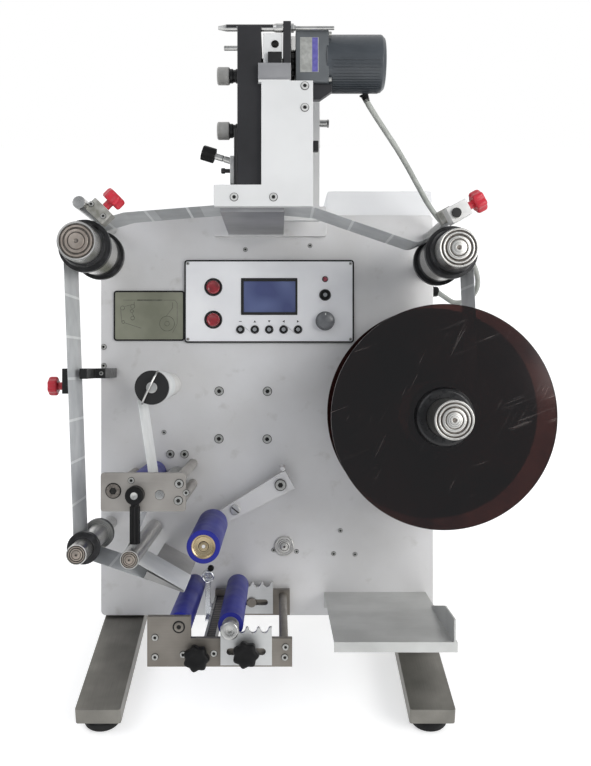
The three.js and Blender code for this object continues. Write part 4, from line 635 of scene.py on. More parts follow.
def lobed(shape, radius, dip, lobes, levels, place, facets=6):
    """Adds a grip with even lobes. Each level is a height, a share of the radius and a share of the dip."""
    rings = []
    for height, share, depth in levels:
        ring = []
        for a in around(lobes * facets):
            reach = share * (radius - depth * dip * (0.5 - 0.5 * math.cos(lobes * a)))
            ring.append(shape.verts.new(place @ Vector((reach * math.cos(a), reach * math.sin(a), height))))
        rings.append(ring)
    skin(shape, rings)


def fluted(shape, radius, dip, flutes, back, front, place):
    """Adds a grip whose side has even flutes, with closed ends."""
    lobed(shape, radius, dip, flutes,
          [(back, 0.97, 1), (back + 0.6, 1, 1), (front - 0.8, 1, 1), (front, 0.94, 1)], place)


speed_x, speed_z = panel_x + column, panel_z - 25
speed_axis = outward(speed_x, speed_z)
speed = bmesh.new()
turn_on(speed, [(0, 2.8), (3, 2.8), (3, 4.8), (12.2, 4.8), (12.2, 6.2), (11.4, 7.2), (0, 7.2)], speed_axis, 64, 0.4)
fluted(speed, 11.2, 0.5, 24, 7, 16.6, speed_axis)
turn_on(speed, [(0, 16.2), (9.8, 16.2), (9.6, 17.2), (6, 18.1), (0, 18.3)], speed_axis, 56, 0.6)
place_block(speed, speed_x - 0.6, speed_x + 0.6, speed_z + 4.5, speed_z + 9.4, 17, 17.9, 0.1, 1)
finish_piece("speed_knob_cap", speed, [knob_grey, white_ink], "speed_knob", ["speed_knob"])

marks = bmesh.new()
mark_rise, mark_size = 10.4, 1.7
mark_outlines = (
    [(-1, 0.25), (-1, -0.25), (1, -0.25), (1, 0.25)], [(-1, -0.8), (1, -0.8), (0, 0.9)],
    [(1, 0.8), (-1, 0.8), (0, -0.9)], [(0.8, 1), (-0.9, 0), (0.8, -1)], [(-0.8, -1), (0.9, 0), (-0.8, 1)])
for (key_x, key_z), outline in zip(key_places, mark_outlines):
    place_slab(marks, [(key_x + mark_size * x, key_z + mark_rise + mark_size * z) for x, z in outline],
               panel_front - 0.1, panel_front + 0.06)
finish_piece("panel_marks", marks, [ink], "frame")

# Threading chart. An olive film plate with the web's path drawn in thin dark
# lines, in the same black trim.

chart_x, chart_z, chart_width, chart_height, chart_front = -151, 384, 89, 62.5, 2.3
chart_film = patterned("olive_polyester_film", "#7a7c6c", 0.4, Coat_Weight=0.2,
                       mottled=(40, 3, "#727464", "#838575"), worn=(5, 2, 0.34, 0.5))
eased_copy("threading_chart", "info_panel", [chart_film], "frame", 0.3)
panel_trim("threading_chart_trim", chart_x, chart_z, chart_width, chart_height, chart_front)
chart_ink = patterned("brown_screen_ink", "#56574b", 0.6, mottled=(4, 3, "#4b4c41", "#62635a"))
chart = bmesh.new()


def draw_line(points, width):
    """Adds a thin printed line to the chart, through points (x, z) from its middle."""
    for start, end in zip(points, points[1:]):
        run = Vector(end) - Vector(start)
        side = Vector((-run.y, run.x)).normalized() * width / 2
        middle = Vector((chart_x, chart_z))
        corners = [middle + Vector(p) + side * by for p, by in ((start, -1), (end, -1), (end, 1), (start, 1))]
        place_slab(chart, corners, chart_front - 0.05, chart_front + 0.05)


for x, z, radius in ((-34, 10, 2.6), (-21, 12, 2.6), (-22, 6, 2), (-33, -8, 1.8), (-21, -3, 2.4), (23, -10, 9.5),
                     (23, -10, 3)):
    place_frame(chart, *([(chart_x + x + r * math.cos(a), chart_z + z + r * math.sin(a)) for a in around(28)]
                         for r in (radius + 0.35, radius - 0.35)), chart_front - 0.05, chart_front + 0.05)
for width, *line in ((0.6, (-36.5, 10), (-35, -8)), (0.6, (-31.5, -9), (-16, -14), (-10, -16)),
                     (0.6, (-19, 13), (-19, 18)), (0.6, (-18.6, -3), (-22, 4)), (0.6, (-31, 12), (-23, 14)),
                     (0.6, (22, -0.5), (30, 10), (30, 17)),
                     (0.5, (-33, 20), (33, 20), (36, 16), (36, -10), (30, -22)), (1.6, (-15, 20), (17, 20))):
    draw_line(line, width)
finish_piece("threading_chart_lines", chart, [chart_ink], "frame")

# Idlers. Turned aluminium rollers with pressed-on black collars that guide the web's edges. Their outer ends
# are faced in rings round a bolt. The upper two are large; the lower left one is slim. The dark grey in the
# rings is painted shade, and the ends of the left idlers and the guide roller are a darker, warmer copy of the
# aluminium: painted shade as well.


def tool_rings(tree, scale, detail, along=False):
    """Rings round a turned piece, by its radius, or by radius and height where its sides show them too."""
    split = add_node(tree, "ShaderNodeSeparateXYZ", links={
        0: add_node(tree, "ShaderNodeAttribute", {"attribute_name": "lathe"}).outputs["Vector"]})
    if along:
        split = add_node(tree, "ShaderNodeMath", {"operation": "ADD"}, {0: split, 1: split.outputs["Y"]})
    return add_node(tree, "ShaderNodeTexNoise", {"noise_dimensions": "1D", "Scale": scale, "Detail": detail},
                    {"W": split})


# Bright turned aluminium, with tool marks 0.8 mm apart, coarser than the lathe's real feed so that they show
spun_aluminium, tree, shader = surface("aluminium_turned_bright", "#c4c4c2", 0.3, 1.0)
rings = tool_rings(tree, 1.25, 2, True)
tint(tree, shader, rings, "#b2b1ad", "#cdccc9")
polish(tree, shader, rings, 0.26, 0.38)
emboss(tree, shader, rings, 0.015)
collar_nylon = patterned("black_acetal_collar", "#1c1c1e", 0.36, Specular_IOR_Level=0.4,
                         mottled=(7, 5, "#151516", "#2c2c2f", 0.45, 0.75), worn=(7, 5, 0.3, 0.5))
# Dark grey painted shade for the turned grooves, steps and centre dimples of the shaft ends; the traction spindle's
# screw head is drawn in the same grey
grey_and_groove_shade = patterned("dark_grey_and_painted_groove_shade", "#75706a", 0.45, 0.8, mottled=(3, 3, "#66615c", "#857f79"))
# A darker, warmer copy of the turned aluminium: painted shade on the ends of the left idlers and the guide roller
shaded_end_grey = patterned("painted_shade_shaft_end", "#a0968d", 0.4, 0.85, mottled=(9, 3, "#968c83", "#aaa198"))


def nose(radius, reach, face=0):
    """The faced end of a shaft: a rim, a groove, a raised ring, and a disc with a centre dimple. The grooves, the
    step round the disc and the dimple are dark grey: painted shade.
    """
    groove = 2
    shares = [(1, 0, 0), (0.89, 0, groove), (0.87, -1.8, groove), (0.83, -1.8, groove), (0.8, 0.2, face),
              (0.7, 0.2, groove), (0.68, -1.6, groove), (0.63, -1.6, groove), (0.6, 0.6, face), (0.46, 0.8, groove),
              (0.45, -0.2, groove), (0.42, -0.2, face), (0.4, 1.4, face), (0.12, 1.8, groove), (0.07, 0.6, groove),
              (0, 0.2, groove)]
    return [(radius * share, reach + rise, finish) for share, rise, finish in shares]


web_start, web_end = 85, 161
upper_idler_profile = [
    (0, -9.7), (5, -9.7), (5, 0.6), (15, 0.6), (15, 10), (12, 10), (12, 75), (29, 75, 1), (29, 84), (25, 84),
    (25, 104, 0), (25, 162, 1), (29, 162), (29, 171), (25, 171), (24.4, 182), (23, 185), (21, 185, 0),
    *nose(21, 212, 3)]
lower_idler_profile = [
    (0, -9.7), (6, -9.7), (6, 0.6), (8, 0.6), (8, 75), (18, 75, 1), (18, 84, 0), (12, 84), (12, 162, 1), (18, 162),
    (18, 171), (12.4, 171), (11, 173, 0), *nose(11, 206, 3)]
shaft_metals = [spun_aluminium, collar_nylon, grey_and_groove_shade, shaded_end_grey]
guide_profile = [(0, -9.7), (5, -9.7), (5, 6), (10, 6), *nose(10, 206, 3)]
for name, profile, x, z, sides, ease in (
        ("upper_left_idler", upper_idler_profile, -199, 452, 72, 0.6),
        ("upper_right_idler", upper_idler_profile, 205, 445, 72, 0.6),
        ("lower_left_idler", lower_idler_profile, -200.4, 119.4, 72, 0.6),
        ("guide_roller", guide_profile, -144, 114, 56, 0.5)):
    # The upper right shaft end stays bright; the others take the darker copy, which is painted shade
    end_metal = spun_aluminium if name == "upper_right_idler" else shaded_end_grey
    turned_piece(f"{name}_turned", [*shaft_metals[:3], end_metal], name, "turned_aluminium", [name],
                 (profile, outward(x, z), sides, ease))

# Label reel. A turned hub between two 5 mm discs of dark amber acrylic, sawn, edge polished and scratched by
# use; the front disc lifts off its boss. The roll of labels sits between them on a card core.

amber, tree, shader = surface("dark_amber_acrylic", "#311512", 0.1, Specular_IOR_Level=0.4, IOR=1.49)
# Scratches: streaks a few centimetres long in two directions, closer together in patches of about 45 mm
scratches = add_node(tree, "ShaderNodeMath", {"operation": "MAXIMUM"}, {
    0: grain(tree, 2.4, 3, (1, 0.06, 0.05), (0, 0.5, 0)), 1: grain(tree, 3.1, 3, (0.05, 0.1, 1), (0, -0.35, 0))})
scratched = add_node(tree, "ShaderNodeMath", {"operation": "MULTIPLY_ADD", 1: 0.4},
                     {0: grain(tree, 45, 2), 2: scratches})
polish(tree, shader, scratched, 0.09, 0.35, 0.86, 1.0)
polish(tree, shader, scratched, 0.96, 0.75, 0.9, 1.06, "Transmission Weight")
stained = tint(tree, shader, grain(tree, 70, 3), "#1f0b0a", "#371a16")
overlay(tree, shader, stained, scratched, "#6d5f5a", 0.87, 1.04)

black_boss = patterned("black_pressed_boss", "#121214", 0.3, Specular_IOR_Level=0.4, worn=(5, 4, 0.2, 0.45))

reel_x, reel_z = 197.6, 263.5
reel_axis = outward(reel_x, reel_z)
turned_piece("reel_hub_turned", [spun_aluminium, amber, grey_and_groove_shade], "reel", "turned_aluminium", ["reel_hub"], (
    [(0, -9.7), (10, -9.7), (10, 0.6), (16, 0.6), (16, 79), (29, 79), (30, 84.2), (30, 162), (21, 162),
     *nose(21, 226)], reel_axis, 72, 0.5), (
    [(30, 79, 1), (125, 79), (125, 84), (30, 84), (30, 79)], reel_axis, 144, 0.4))
turned_piece("reel_front_disc_amber", [amber, black_boss], "reel", "amber_acrylic", ["reel_front_disc"], (
    [(33, 162.3), (125, 162.3), (125, 167.3), (33, 167.3), (33, 162.3)], reel_axis, 144, 0.4), (
    [(21.3, 162.3, 1), (33.2, 162.3), (33.2, 170), (31.5, 175), (29, 176.3), (21.3, 176.3), (21.3, 162.3)],
    reel_axis, 72, 0.8))

paper_roll, tree, shader = surface("wound_label_roll", "#d9d7d1", 0.75)
turns = tool_rings(tree, 1.6, 3)
tint(tree, shader, turns, "#bdbab3", "#e6e4de")
emboss(tree, shader, turns, 0.08)

card = patterned("grey_card_core", "#8d8377", 0.85, mottled=(3, 4, "#7c7368", "#9b9185"))
turned_piece("label_roll_wound", [paper_roll, card], "reel", "roll_paper", ["label_roll"], (
    [(30.3, 85, 1), (33, 85, 0), (33.1, 85.3), (40, 85.2), (40, 160.8), (33.1, 160.7), (33, 161, 1), (30.3, 161),
     (30.3, 85)], reel_axis, 96, 0.2))

# Rewind spool. A white moulded core that winds up the bare liner, with a black end disc, a screw, and a wire
# clip that pinches the liner's end.

white_abs = patterned("white_abs_moulded", "#dcdcda", 0.4, mottled=(20, 3, "#d2d2d0", "#e3e3e1"))
rewind_x, rewind_z = -125.6, 296
rewind = bmesh.new()
turn_on(rewind, [(0, -9.7, 1), (6, -9.7), (6, 0.6, 0), (15, 0.6), (15, 85), (17.5, 85, 2), (17.5, 161, 3), (19, 161),
                 (19, 166), (6, 166, 1), (6, 167.4), (0, 167.8)], outward(rewind_x, rewind_z), 64, 0.5)


def lay_tube(shape, points, radius, sides=14, finish=0, shares=None):
    """Adds a round tube along points, with its ends closed. shares gives each ring's share of the radius."""
    rings = []
    side = (points[1] - points[0]).normalized().orthogonal().normalized()
    for i, point in enumerate(points):
        run = (points[min(i + 1, len(points) - 1)] - points[max(i - 1, 0)]).normalized()
        side = (side - run * side.dot(run)).normalized()
        r = radius * (shares[i] if shares else 1)
        rings.append([shape.verts.new(point + r * (math.cos(a) * side + math.sin(a) * run.cross(side)))
                      for a in around(sides)])
    skin(shape, rings, finish)


clip_middle = Vector((rewind_x - 2, -163.6, rewind_z))
clip_line = [clip_middle + Vector((8.64 * math.cos(turn), -9 * math.sin(turn), 18 * math.cos(turn)))
             for turn in (math.pi * k / 24 for k in range(25))]
lay_tube(rewind, clip_line, 1.2, 12, 1)

# Web. Glassine liner 0.4 mm thick with grey die-cut labels on its outer side, 44 mm long with 3 mm between
# them. It is drawn tight from roller to roller; past the peel plate the bare liner goes back to be wound up.

glassine = patterned("glassine_liner", "#e4e6e7", 0.42, Specular_IOR_Level=0.4,
                     mottled=(26, 4, "#dcdfe0", "#eaecec"), raised=(9, 3, 0.12))
backed_glassine = patterned("glassine_over_label", "#c0c3c5", 0.42, Specular_IOR_Level=0.4,
                            mottled=(26, 4, "#b8bbbd", "#c9cccd"))
label_stock = patterned("grey_coated_label_paper", "#a5a8aa", 0.5, mottled=(30, 3, "#9ea1a3", "#adb0b2"),
                        worn=(8, 3, 0.42, 0.58))
web_thickness, clearance = 0.4, 0.3
ride_height = clearance + web_thickness / 2


def tangent(start, end):
    """The direction of the straight run between two circles (x, z, radius, hand)."""
    run = Vector((end[0] - start[0], end[1] - start[1]))
    return math.atan2(run.y, run.x) - math.asin((end[3] * end[2] - start[3] * start[2]) / run.length)


def web_path(stations, tail):
    """Points (x, z) of the strip's middle line round the stations, each with the run's direction there."""
    angles = [tangent(a, b) for a, b in zip(stations, stations[1:])]
    path = []
    for i, (x, z, radius, hand) in enumerate(stations):
        start = angles[max(i - 1, 0)]
        end = angles[i] if i < len(angles) else angles[-1] + hand * tail
        sweep = (end - start) * hand
        while sweep < -math.pi / 90:
            sweep += 2 * math.pi
        steps = max(1, math.ceil(math.degrees(max(sweep, 0)) / 4))        # a ring every 4 degrees
        for k in range(steps + 1):
            turn = start + hand * sweep * k / steps
            point = Vector((x + hand * radius * math.sin(turn), z - hand * radius * math.cos(turn)))
            if not path or (point - path[-1][0]).length > web_thickness / 10:
                path.append((point, turn))
    return path


def strip_along(shape, path, inside, outside, back, front, finish=0):
    """Adds a thin strip along a path, between two distances to the right of its run."""
    rings = []
    for point, turn in path:
        right = Vector((math.sin(turn), -math.cos(turn)))
        rings.append([shape.verts.new((p.x, -w, p.y)) for p, w in (
            (point + right * inside, back), (point + right * outside, back),
            (point + right * outside, front), (point + right * inside, front))])
    skin(shape, rings, finish)


def cut_path(path, start, end):
    """The part of a path between two lengths along it."""
    out, run = [], 0.0
    for (a, turn_a), (b, turn_b) in zip(path, path[1:]):
        length = (b - a).length
        for mark in (start, end):
            if run <= mark < run + length:
                share = (mark - run) / length
                out.append((a.lerp(b, share), turn_a + (turn_b - turn_a) * share))
        if start < run + length < end:
            out.append((b, turn_b))
        run += length
    return out


upper_stations = [(reel_x, reel_z, 40 + ride_height, 1), (205, 445, 25 + ride_height, 1), (168, 473, 15, -1),
                  (54, 490, 6, 1), (21, 493, 6, 1), (-49, 493, 6, 1), (-156, 484.5, 6, 1),
                  (-199, 452, 25 + ride_height, 1)]
lower_stations = [(-199, 452, 25 + ride_height, 1), (-200.4, 119.4, 12 + ride_height, 1), (-91, 70, 1.2, 1),
                  (-144, 114, 10 + ride_height, -1), (-143, 184, 15 + ride_height, 1),
                  (rewind_x, rewind_z, 17.5 + ride_height, -1)]
label_length, label_gap, first_label, label_inset = 44, 3, 6, 3
label_underside, label_face = web_thickness / 2 - 0.12, web_thickness / 2 + 0.06
peel_edge = Vector(lower_stations[2][:2])
for name, stations, tail in (("upper", upper_stations, math.pi / 3), ("lower", lower_stations, math.pi / 6)):
    path = web_path(stations, tail)
    lengths = [0.0]
    for (a, _), (b, _) in zip(path, path[1:]):
        lengths.append(lengths[-1] + (b - a).length)
    total = lengths[-1]
    at_peel = [length for length, (point, _) in zip(lengths, path) if (point - peel_edge).length < 2]
    labelled = total if name == "upper" else at_peel[0]
    pitch = label_length + label_gap
    starts = [first_label + k * pitch for k in range(int((labelled - first_label) / pitch))]
    marks = [0, *(mark for start in starts for mark in (start, start + label_length)), total]
    liner_path, backed = [path[0]], []
    for i, (start, end) in enumerate(zip(marks, marks[1:])):
        run = cut_path(path, start, end)[1:] + ([path[-1]] if end == total else [])
        liner_path += run
        backed += [i % 2] * len(run)
    liner, labels = bmesh.new(), bmesh.new()
    strip_along(liner, liner_path, -web_thickness / 2, label_underside, web_start, web_end, backed)
    finish_piece(f"{name}_liner", liner, [glassine, backed_glassine], "frame",
                 [f"{name}_label_web"], 45)
    for start in starts:
        strip_along(labels, cut_path(path, start, start + label_length), label_underside, label_face,
                    web_start + label_inset, web_end - label_inset)
    finish_piece(f"{name}_labels", labels, [label_stock], "frame", crease=45)
finish_piece("rewind_spool_wound", rewind, [white_abs, stainless, glassine, glossy_abs], "rewind_spool",
             ["rewind_spool"])

# Peel plate. A polished aluminium wedge with a sharp nose; the label lifts
# off as the liner turns back there.

wedge_polished = brushed("polished_aluminium_wedge", "#aeadab", "#a2a19f", "#bab9b7", 0.36, "x", 1.2, 0.8)
eased_copy("peel_wedge", "peel_plate", [wedge_polished], "frame", 0.15)

# Bottle tray. Folded 2 mm stainless sheet, grained and a little smeared,
# screwed to the plate by its back.

tray_sheet = brushed("grained_stainless_sheet", "#c2c3c1", "#babbb9", "#cacbc9", 0.46, "x", 1.0, 0.6)
eased_copy("folded_bottle_tray", "bottle_tray", [tray_sheet], "frame", 0.4)

# Traction unit. A front bracket on three pillars carries the driven steel roller and the blue pinch roller,
# which an eccentric lever with a fluted black handle presses against it.

milled = brushed("milled_aluminium", "#9f9b96", "#94908b", "#aaa6a1", 0.42, "x", 1.3, 0.7)
eased_copy("traction_front_bracket", "traction_bracket", [milled], "frame", 0.6)
set_screws("traction_pillar_screws", [(-94, 191.5, 178), (-94.9, 173, 178)], 4.4, 1.6)
set_screws("traction_spindle_screw", [(-165.9, 183.6, 178)], 7.6, 2.2, grey_and_groove_shade)
set_screws("traction_lock_screws", [(-146.3, 194.9, 178), (-86.4, 181.5, 178)], 3.2, 1.4)
knurled, tree, shader = surface("knurled_steel_roller", "#a7a7a5", 0.38, 1.0)
knurl = add_node(tree, "ShaderNodeTexVoronoi", {"Scale": 900, "feature": "F1"},
                 {"Vector": add_node(tree, "ShaderNodeTexCoord").outputs["Object"]})
emboss(tree, shader, knurl, 0.2)
tint(tree, shader, grain(tree, 5, 2), "#989896", "#b5b5b3")
turned_piece("traction_roller_knurled", [knurled, stainless], "traction_roller", "turned_aluminium",
             ["traction_roller"], (
    [(0, -9.7, 1), (5, -9.7), (5, 1.2), (12, 1.2, 0), (12, 169.4, 1), (5, 169.4), (5, 178), (0, 178)],
    outward(-115.43, 179.14), 56, 0.4))

# Cast polyurethane: a deep blue, slightly waxy, ground to size, paler where paper dust has rubbed in
blue_sleeve = patterned("blue_polyurethane_cast", "#1c2276", 0.5, Subsurface_Weight=0.05, Subsurface_Scale=0.003,
                        Specular_IOR_Level=0.35, mottled=(40, 4, "#151b78", "#1e2589"), worn=(25, 4, 0.4, 0.52),
                        raised=(6, 2, 0.01))
pinch_axis = outward(-143, 184)
turned_piece("pinch_roller_sleeve", [blue_sleeve, spun_aluminium], "pinch_roller", "blue_polyurethane",
             ["pinch_roller"], (
    [(5.3, 5.6), (15, 5.6), (15, 165), (9, 165, 1), (8.6, 164.4), (5.3, 164.4), (5.3, 5.6)], pinch_axis, 56, 0.8))

lever_axis = outward(-141, 180)
handle_down = Matrix.Translation((-141, -186.6, 180)) @ Matrix.Rotation(math.pi, 4, "X")
lever = bmesh.new()
turn_on(lever, [(0, 0.6, 1), (5, 0.6), (5, 169.7), (0, 169.7)], pinch_axis, 40, 0.3)
turn_on(lever, [(0, -9.7, 1), (4, -9.7), (4, 5.3), (0, 5.3)], lever_axis, 32, 0.3)
turn_on(lever, [(0, 165.3, 1), (4, 165.3), (4, 180), (0, 180)], lever_axis, 32, 0.3)
turn_on(lever, [(0, 178.6), (9, 178.6), (10, 180), (10, 193), (8.6, 194.6), (4.4, 194.6), (4, 193.8, 1), (2.2, 193.8),
                (1.8, 192), (0, 192)], lever_axis, 56, 0.6)
turn_on(lever, [(0, 2), (4.6, 2), (4.6, 12), (5.4, 13), (0, 13.4)], handle_down, 32, 0.5)
fluted(lever, 5.7, 0.7, 12, 12, 52.6, handle_down)
finish_piece("release_lever_moulded", lever, [nylon, stainless], "release_lever", ["release_lever"])
turned_piece("spare_bearing_end", shaft_metals[:3], "frame", "turned_aluminium", [], (
    [(0, 0.05), (12.5, 0.05), (12.5, 3.2), *nose(11.9, 3.8)], outward(22, 89), 56, 0.3))

# Swing arm and top roller. A milled aluminium arm on a slotted pivot screw holds the roller that presses the
# bottle down. The roller has a cast blue sleeve and a turned brass end plug.

arm_pivot, top_roller = Vector((17, 171)), Vector((-66.6, 124.7))
eased_copy("milled_swing_arm", "roller_arm", [plate_aluminium], "roller_arm", 0.6)
set_screws("arm_pivot_screw", [(*arm_pivot, 31)], 6.4, 1.4, body="roller_arm")
clevis = top_roller + (arm_pivot - top_roller).normalized() * 31
slotted = bmesh.new()
turn_on(slotted, [(0, 27.5), (6.5, 27.5), (6.5, 30.6), (5.6, 31.4), (0, 31.4)], outward(*clevis), 40, 0.3)
slot_turn = Matrix.Translation((clevis.x, 0, clevis.y)) @ Matrix.Rotation(math.radians(38), 4, "Y")
# The slot is a thin dark bar across the head: painted shade
place_block(slotted, -5.6, 5.6, -0.8, 0.8, 31.2, 31.6, 0, 1, slot_turn)
finish_piece("arm_slotted_screw", slotted, [stainless, blackened_steel_and_slot_shade], "roller_arm")

brass, tree, shader = surface("turned_brass", "#b3a284", 0.3, 1.0)
brass_rings = tool_rings(tree, 1.5, 1)
tint(tree, shader, brass_rings, "#9c8b6c", "#c6b697")
polish(tree, shader, brass_rings, 0.2, 0.38)
turned_piece("top_roller_sleeve", [blue_sleeve, brass], "top_bottle_roller", "blue_polyurethane",
             ["top_bottle_roller"], (
    [(5.3, 42), (18.3, 42), (18.3, 190), (13, 190, 1), (12.6, 189), (11, 188.6), (10.4, 187.4), (5.3, 187),
     (5.3, 42)], outward(*top_roller), 80, 0.9))
turned_piece("top_roller_axle_end", [brass], "roller_arm", "turned_aluminium", [], (
    [(0, 186.6), (5, 186.6), (4.7, 188.6), (2.2, 188.7), (1.8, 187.6), (0, 187.4)], outward(*top_roller), 40, 0.2))

# Lower bottle rollers. Two cast blue sleeves on steel journals: the left one runs in the frame's bearings,
# the right one lies in the notches of two sliding plates.

sleeve = [(4, 20), (9, 20.4), (9, 22, 0), (13.5, 22), (13.5, 205), (9, 205.2, 1), (4, 205.4)]
left_profile = [(0, -9.7, 1), (4, -9.7), *sleeve, (4, 213.8), (0, 214)]
right_profile = [(0, 10.9, 1), (4, 10.9), *sleeve, (4, 220.6), (9.5, 220.6), (9.5, 227.6), (8.4, 228.6), (5, 228.6),
                 (4.6, 227.4), (2, 227.4), (1.6, 226), (0, 226)]
for side, profile, x, ease in (("left", left_profile, -91, 0.6), ("right", right_profile, -36.4, 0.5)):
    turned_piece(f"{side}_roller_sleeve", [blue_sleeve, stainless], f"{side}_bottle_roller", "blue_polyurethane",
                 [f"{side}_bottle_roller"], (profile, outward(x, 44.5), 64, ease))

# Roller frame and notched plates. Milled aluminium bars joined by a tie rod and a ribbed rail; the plates
# slide on them and are held by star knobs.

frame_milled = brushed("milled_aluminium_frame", "#7d7871", "#726d66", "#88837c", 0.42, "x", 1.3, 0.8)
pale_milled = brushed("milled_aluminium_pale", "#c3c4c4", "#b8b9b9", "#cdcecd", 0.42, "x", 1.3)
black_rail = patterned("black_anodised_rail", "#232325", 0.4, 0.6, worn=(4, 3, 0.34, 0.5))


def frame_finish(x, w, z):
    """The rail is black anodised; the rest of the frame is bare."""
    return 1 if -66.5 < x < -53.5 and 11 < z < 29 and 12 < w < 205 else 0


eased_copy("roller_frame_milled", "lower_roller_frame", [frame_milled, black_rail], "frame",
           0.5, frame_finish)
set_screws("roller_frame_screws", [(-115.6, 34, 214), (-115.6, 13.5, 214), (-86, 16, 214), (21.9, 24, 214),
                                   (21.1, 13.2, 214)], 3.3, 1.6)
# The bearing's end, and a countersunk screw, flush because the front slide passes over it. The near-black rings round
# their rims and at their middles are painted shade
turned_piece("left_roller_bearing", [blackened_steel_and_slot_shade, recess_shade_black, frame_milled, screw_steel], "frame",
             "turned_aluminium", [], (
    [(0, 213.6, 1), (6.6, 213.6), (6.6, 214.5), (5.3, 214.7), (5.1, 214.2, 2), (4.9, 215), (2.5, 215.2),
     (2.3, 214.3, 1), (0, 214.2, 1)], outward(-90.5, 45), 40, 0.3), (
    [(0, 213.6, 1), (3.9, 213.6), (3.9, 214.08), (3.4, 214.1, 3), (3.3, 214.2), (1.8, 214.2), (1.7, 214.12, 1),
     (0, 214.1, 1)], outward(-53.7, 16.9), 32, 0.1))

rail_tree, given, result = growing_tree("rail_ribs", {
    "Count": ("Int", 24), "Pitch": ("Float", 0.0078), "Rib Width": ("Float", 0.0075), "Rib Length": ("Float", 0.0042),
    "Rib Height": ("Float", 0.0003), "Facing": ("Vector", (0, 0, 0)), "Finish": ("Material", None)})
size, step = (add_node(rail_tree, "ShaderNodeCombineXYZ", links={axis: given[label] for axis, label in sides.items()})
              for sides in ({"X": "Rib Width", "Y": "Rib Length", "Z": "Rib Height"}, {"Y": "Pitch"}))
rib = add_node(rail_tree, "GeometryNodeMeshCube", links={"Size": size})
line = add_node(rail_tree, "GeometryNodeMeshLine", {"mode": "OFFSET"}, {"Count": given["Count"], "Offset": step})
rows = add_node(rail_tree, "GeometryNodeInstanceOnPoints", links={"Points": line, "Instance": rib})
end_tree(rail_tree, stand_up(rail_tree, rows, given), given["Finish"], result)
grown("rail_ribs", [on_face @ Vector((-58, -200, 28.05))], rail_tree,
      {"Facing": (-lean, 0, 0), "Finish": frame_milled}, "frame")
rail_edge = bmesh.new()
place_block(rail_edge, -65.6, -63.4, 27.9, 28.15, 13, 204, 0.05)
finish_piece("rail_ground_edge", rail_edge, [stainless], "frame")

for end in ("front", "rear"):
    eased_copy(f"{end}_notched_slide", f"{end}_notched_plate", [pale_milled], "roller_carriage",
               0.35)

# Star knobs. Seven-lobed black knobs moulded on steel studs, with a domed top
# and a shallow moulded ring.

# Heights and radii of the head, as shares of its height and radius
star_levels = ((0, 0.86), (0.08, 0.95), (0.2, 1), (0.72, 1), (0.88, 0.95), (0.97, 0.84), (1, 0.66), (1, 0.4),
               (0.95, 0.34))


def star(shape, radius, height, hub_radius, hub_height, lobes, place):
    """Adds a lobed knob: a round hub and a head whose lobes are rounded over at both ends."""
    turn_on(shape, [(0, 0), (hub_radius, 0), (hub_radius, hub_height + 1), (0, hub_height + 1)], place, 40, 0.5)
    levels = [(hub_height + height * level, share, min(1, max(0, (share - 0.3) / 0.6)))
              for level, share in star_levels]
    lobed(shape, radius, 0.16 * radius, lobes, levels, place, 10)


for name, x, z, seat in (("left_star_knob", -71, 15.4, 214.3), ("right_star_knob", -19.4, 21, 220.6)):
    knob = bmesh.new()
    star(knob, 14, 12, 8, 5, 7, outward(x, z) @ Matrix.Translation((0, 0, seat)))
    if name == "right_star_knob":
        turn_on(knob, [(0, 214.3, 1), (3, 214.3), (3, 222), (0, 222)], outward(x, z), 24, 0.2)
    finish_piece(f"{name}_moulded", knob, [nylon, stainless], name, [name], 40)

# Bottle stop. A chromed saddle that slides on the ribbed rail, with a bent
# bright post and a black cap.

chrome = patterned("chromed_steel", "#dddfe2", 0.2, 0.9, worn=(12, 3, 0.14, 0.28))
eased_copy("bottle_stop_saddle", "bottle_stop", [chrome], "bottle_stop", 0.4)
cap = bmesh.new()
turn_on(cap, [(0, 51), (3.4, 51), (3.8, 53), (3.8, 57.5), (2.6, 59), (0, 59.2)], outward(-68.2, 72.4), 32, 0.5)
turn_on(cap, [(4.6, 45.5, 1), (7.2, 45.5), (7.8, 46.3), (7.8, 55.4), (7.2, 56.4), (5.8, 56.6), (4.6, 55.4),
              (4.6, 45.5)], outward(-72, 62), 40, 0.4)
lay_tube(cap, [Vector(p) for p in ((-72, -46, 64), (-71.6, -48, 68), (-70.4, -51, 71), (-68.2, -54, 72.4))],
         1.6, 14, 1)
finish_piece("bottle_stop_cap", cap, [nylon, chrome], "bottle_stop")

# Date coder. It hangs over the upper web: a platen bracket, a painted steel frame, a black body and its spools,
# a print head on two pins, and a geared motor that turns the cam. Plates are milled, then painted or anodised.

platen_steel = brushed("brushed_steel_platen", "#9a9a9c", "#909092", "#a5a5a7", 0.44, "x", 1.1)
flange_front = 8.3
eased_copy("coder_platen_bracket", "coder_mount", [platen_steel, plate_aluminium], "frame",
           0.5, lambda x, w, z: 1 if w < flange_front + 0.2 else 0)

white_paint = patterned("white_satin_enamel", "#d8d9d9", 0.45, mottled=(90, 4, "#d3d4d4", "#dddede"),
                        worn=(1.8, 2, 0.38, 0.52), raised=(1.8, 2, 0.02))
black_enamel = patterned("black_anodised_satin", "#252527", 0.42, 0.25, mottled=(70, 4, "#202022", "#2c2c2f"),
                         worn=(1.4, 2, 0.36, 0.5), raised=(1.4, 2, 0.02))


def coder_finish(x, w, z):
    """Bare aluminium head blocks, a black motor gusset and a steel stud on the painted frame."""
    if 624.2 < z < 644.9 and x < 27.2 and w > 50.4:
        return 1
    if 611 < z < 629.5 and x > 43.9 and 164 < w < 186:
        return 2
    return 3 if x > 65.2 and z < 625 else 0


eased_copy("coder_painted_frame", "coder_frame", [white_paint, platen_steel, black_enamel, stainless], "frame",
           0.5, coder_finish)

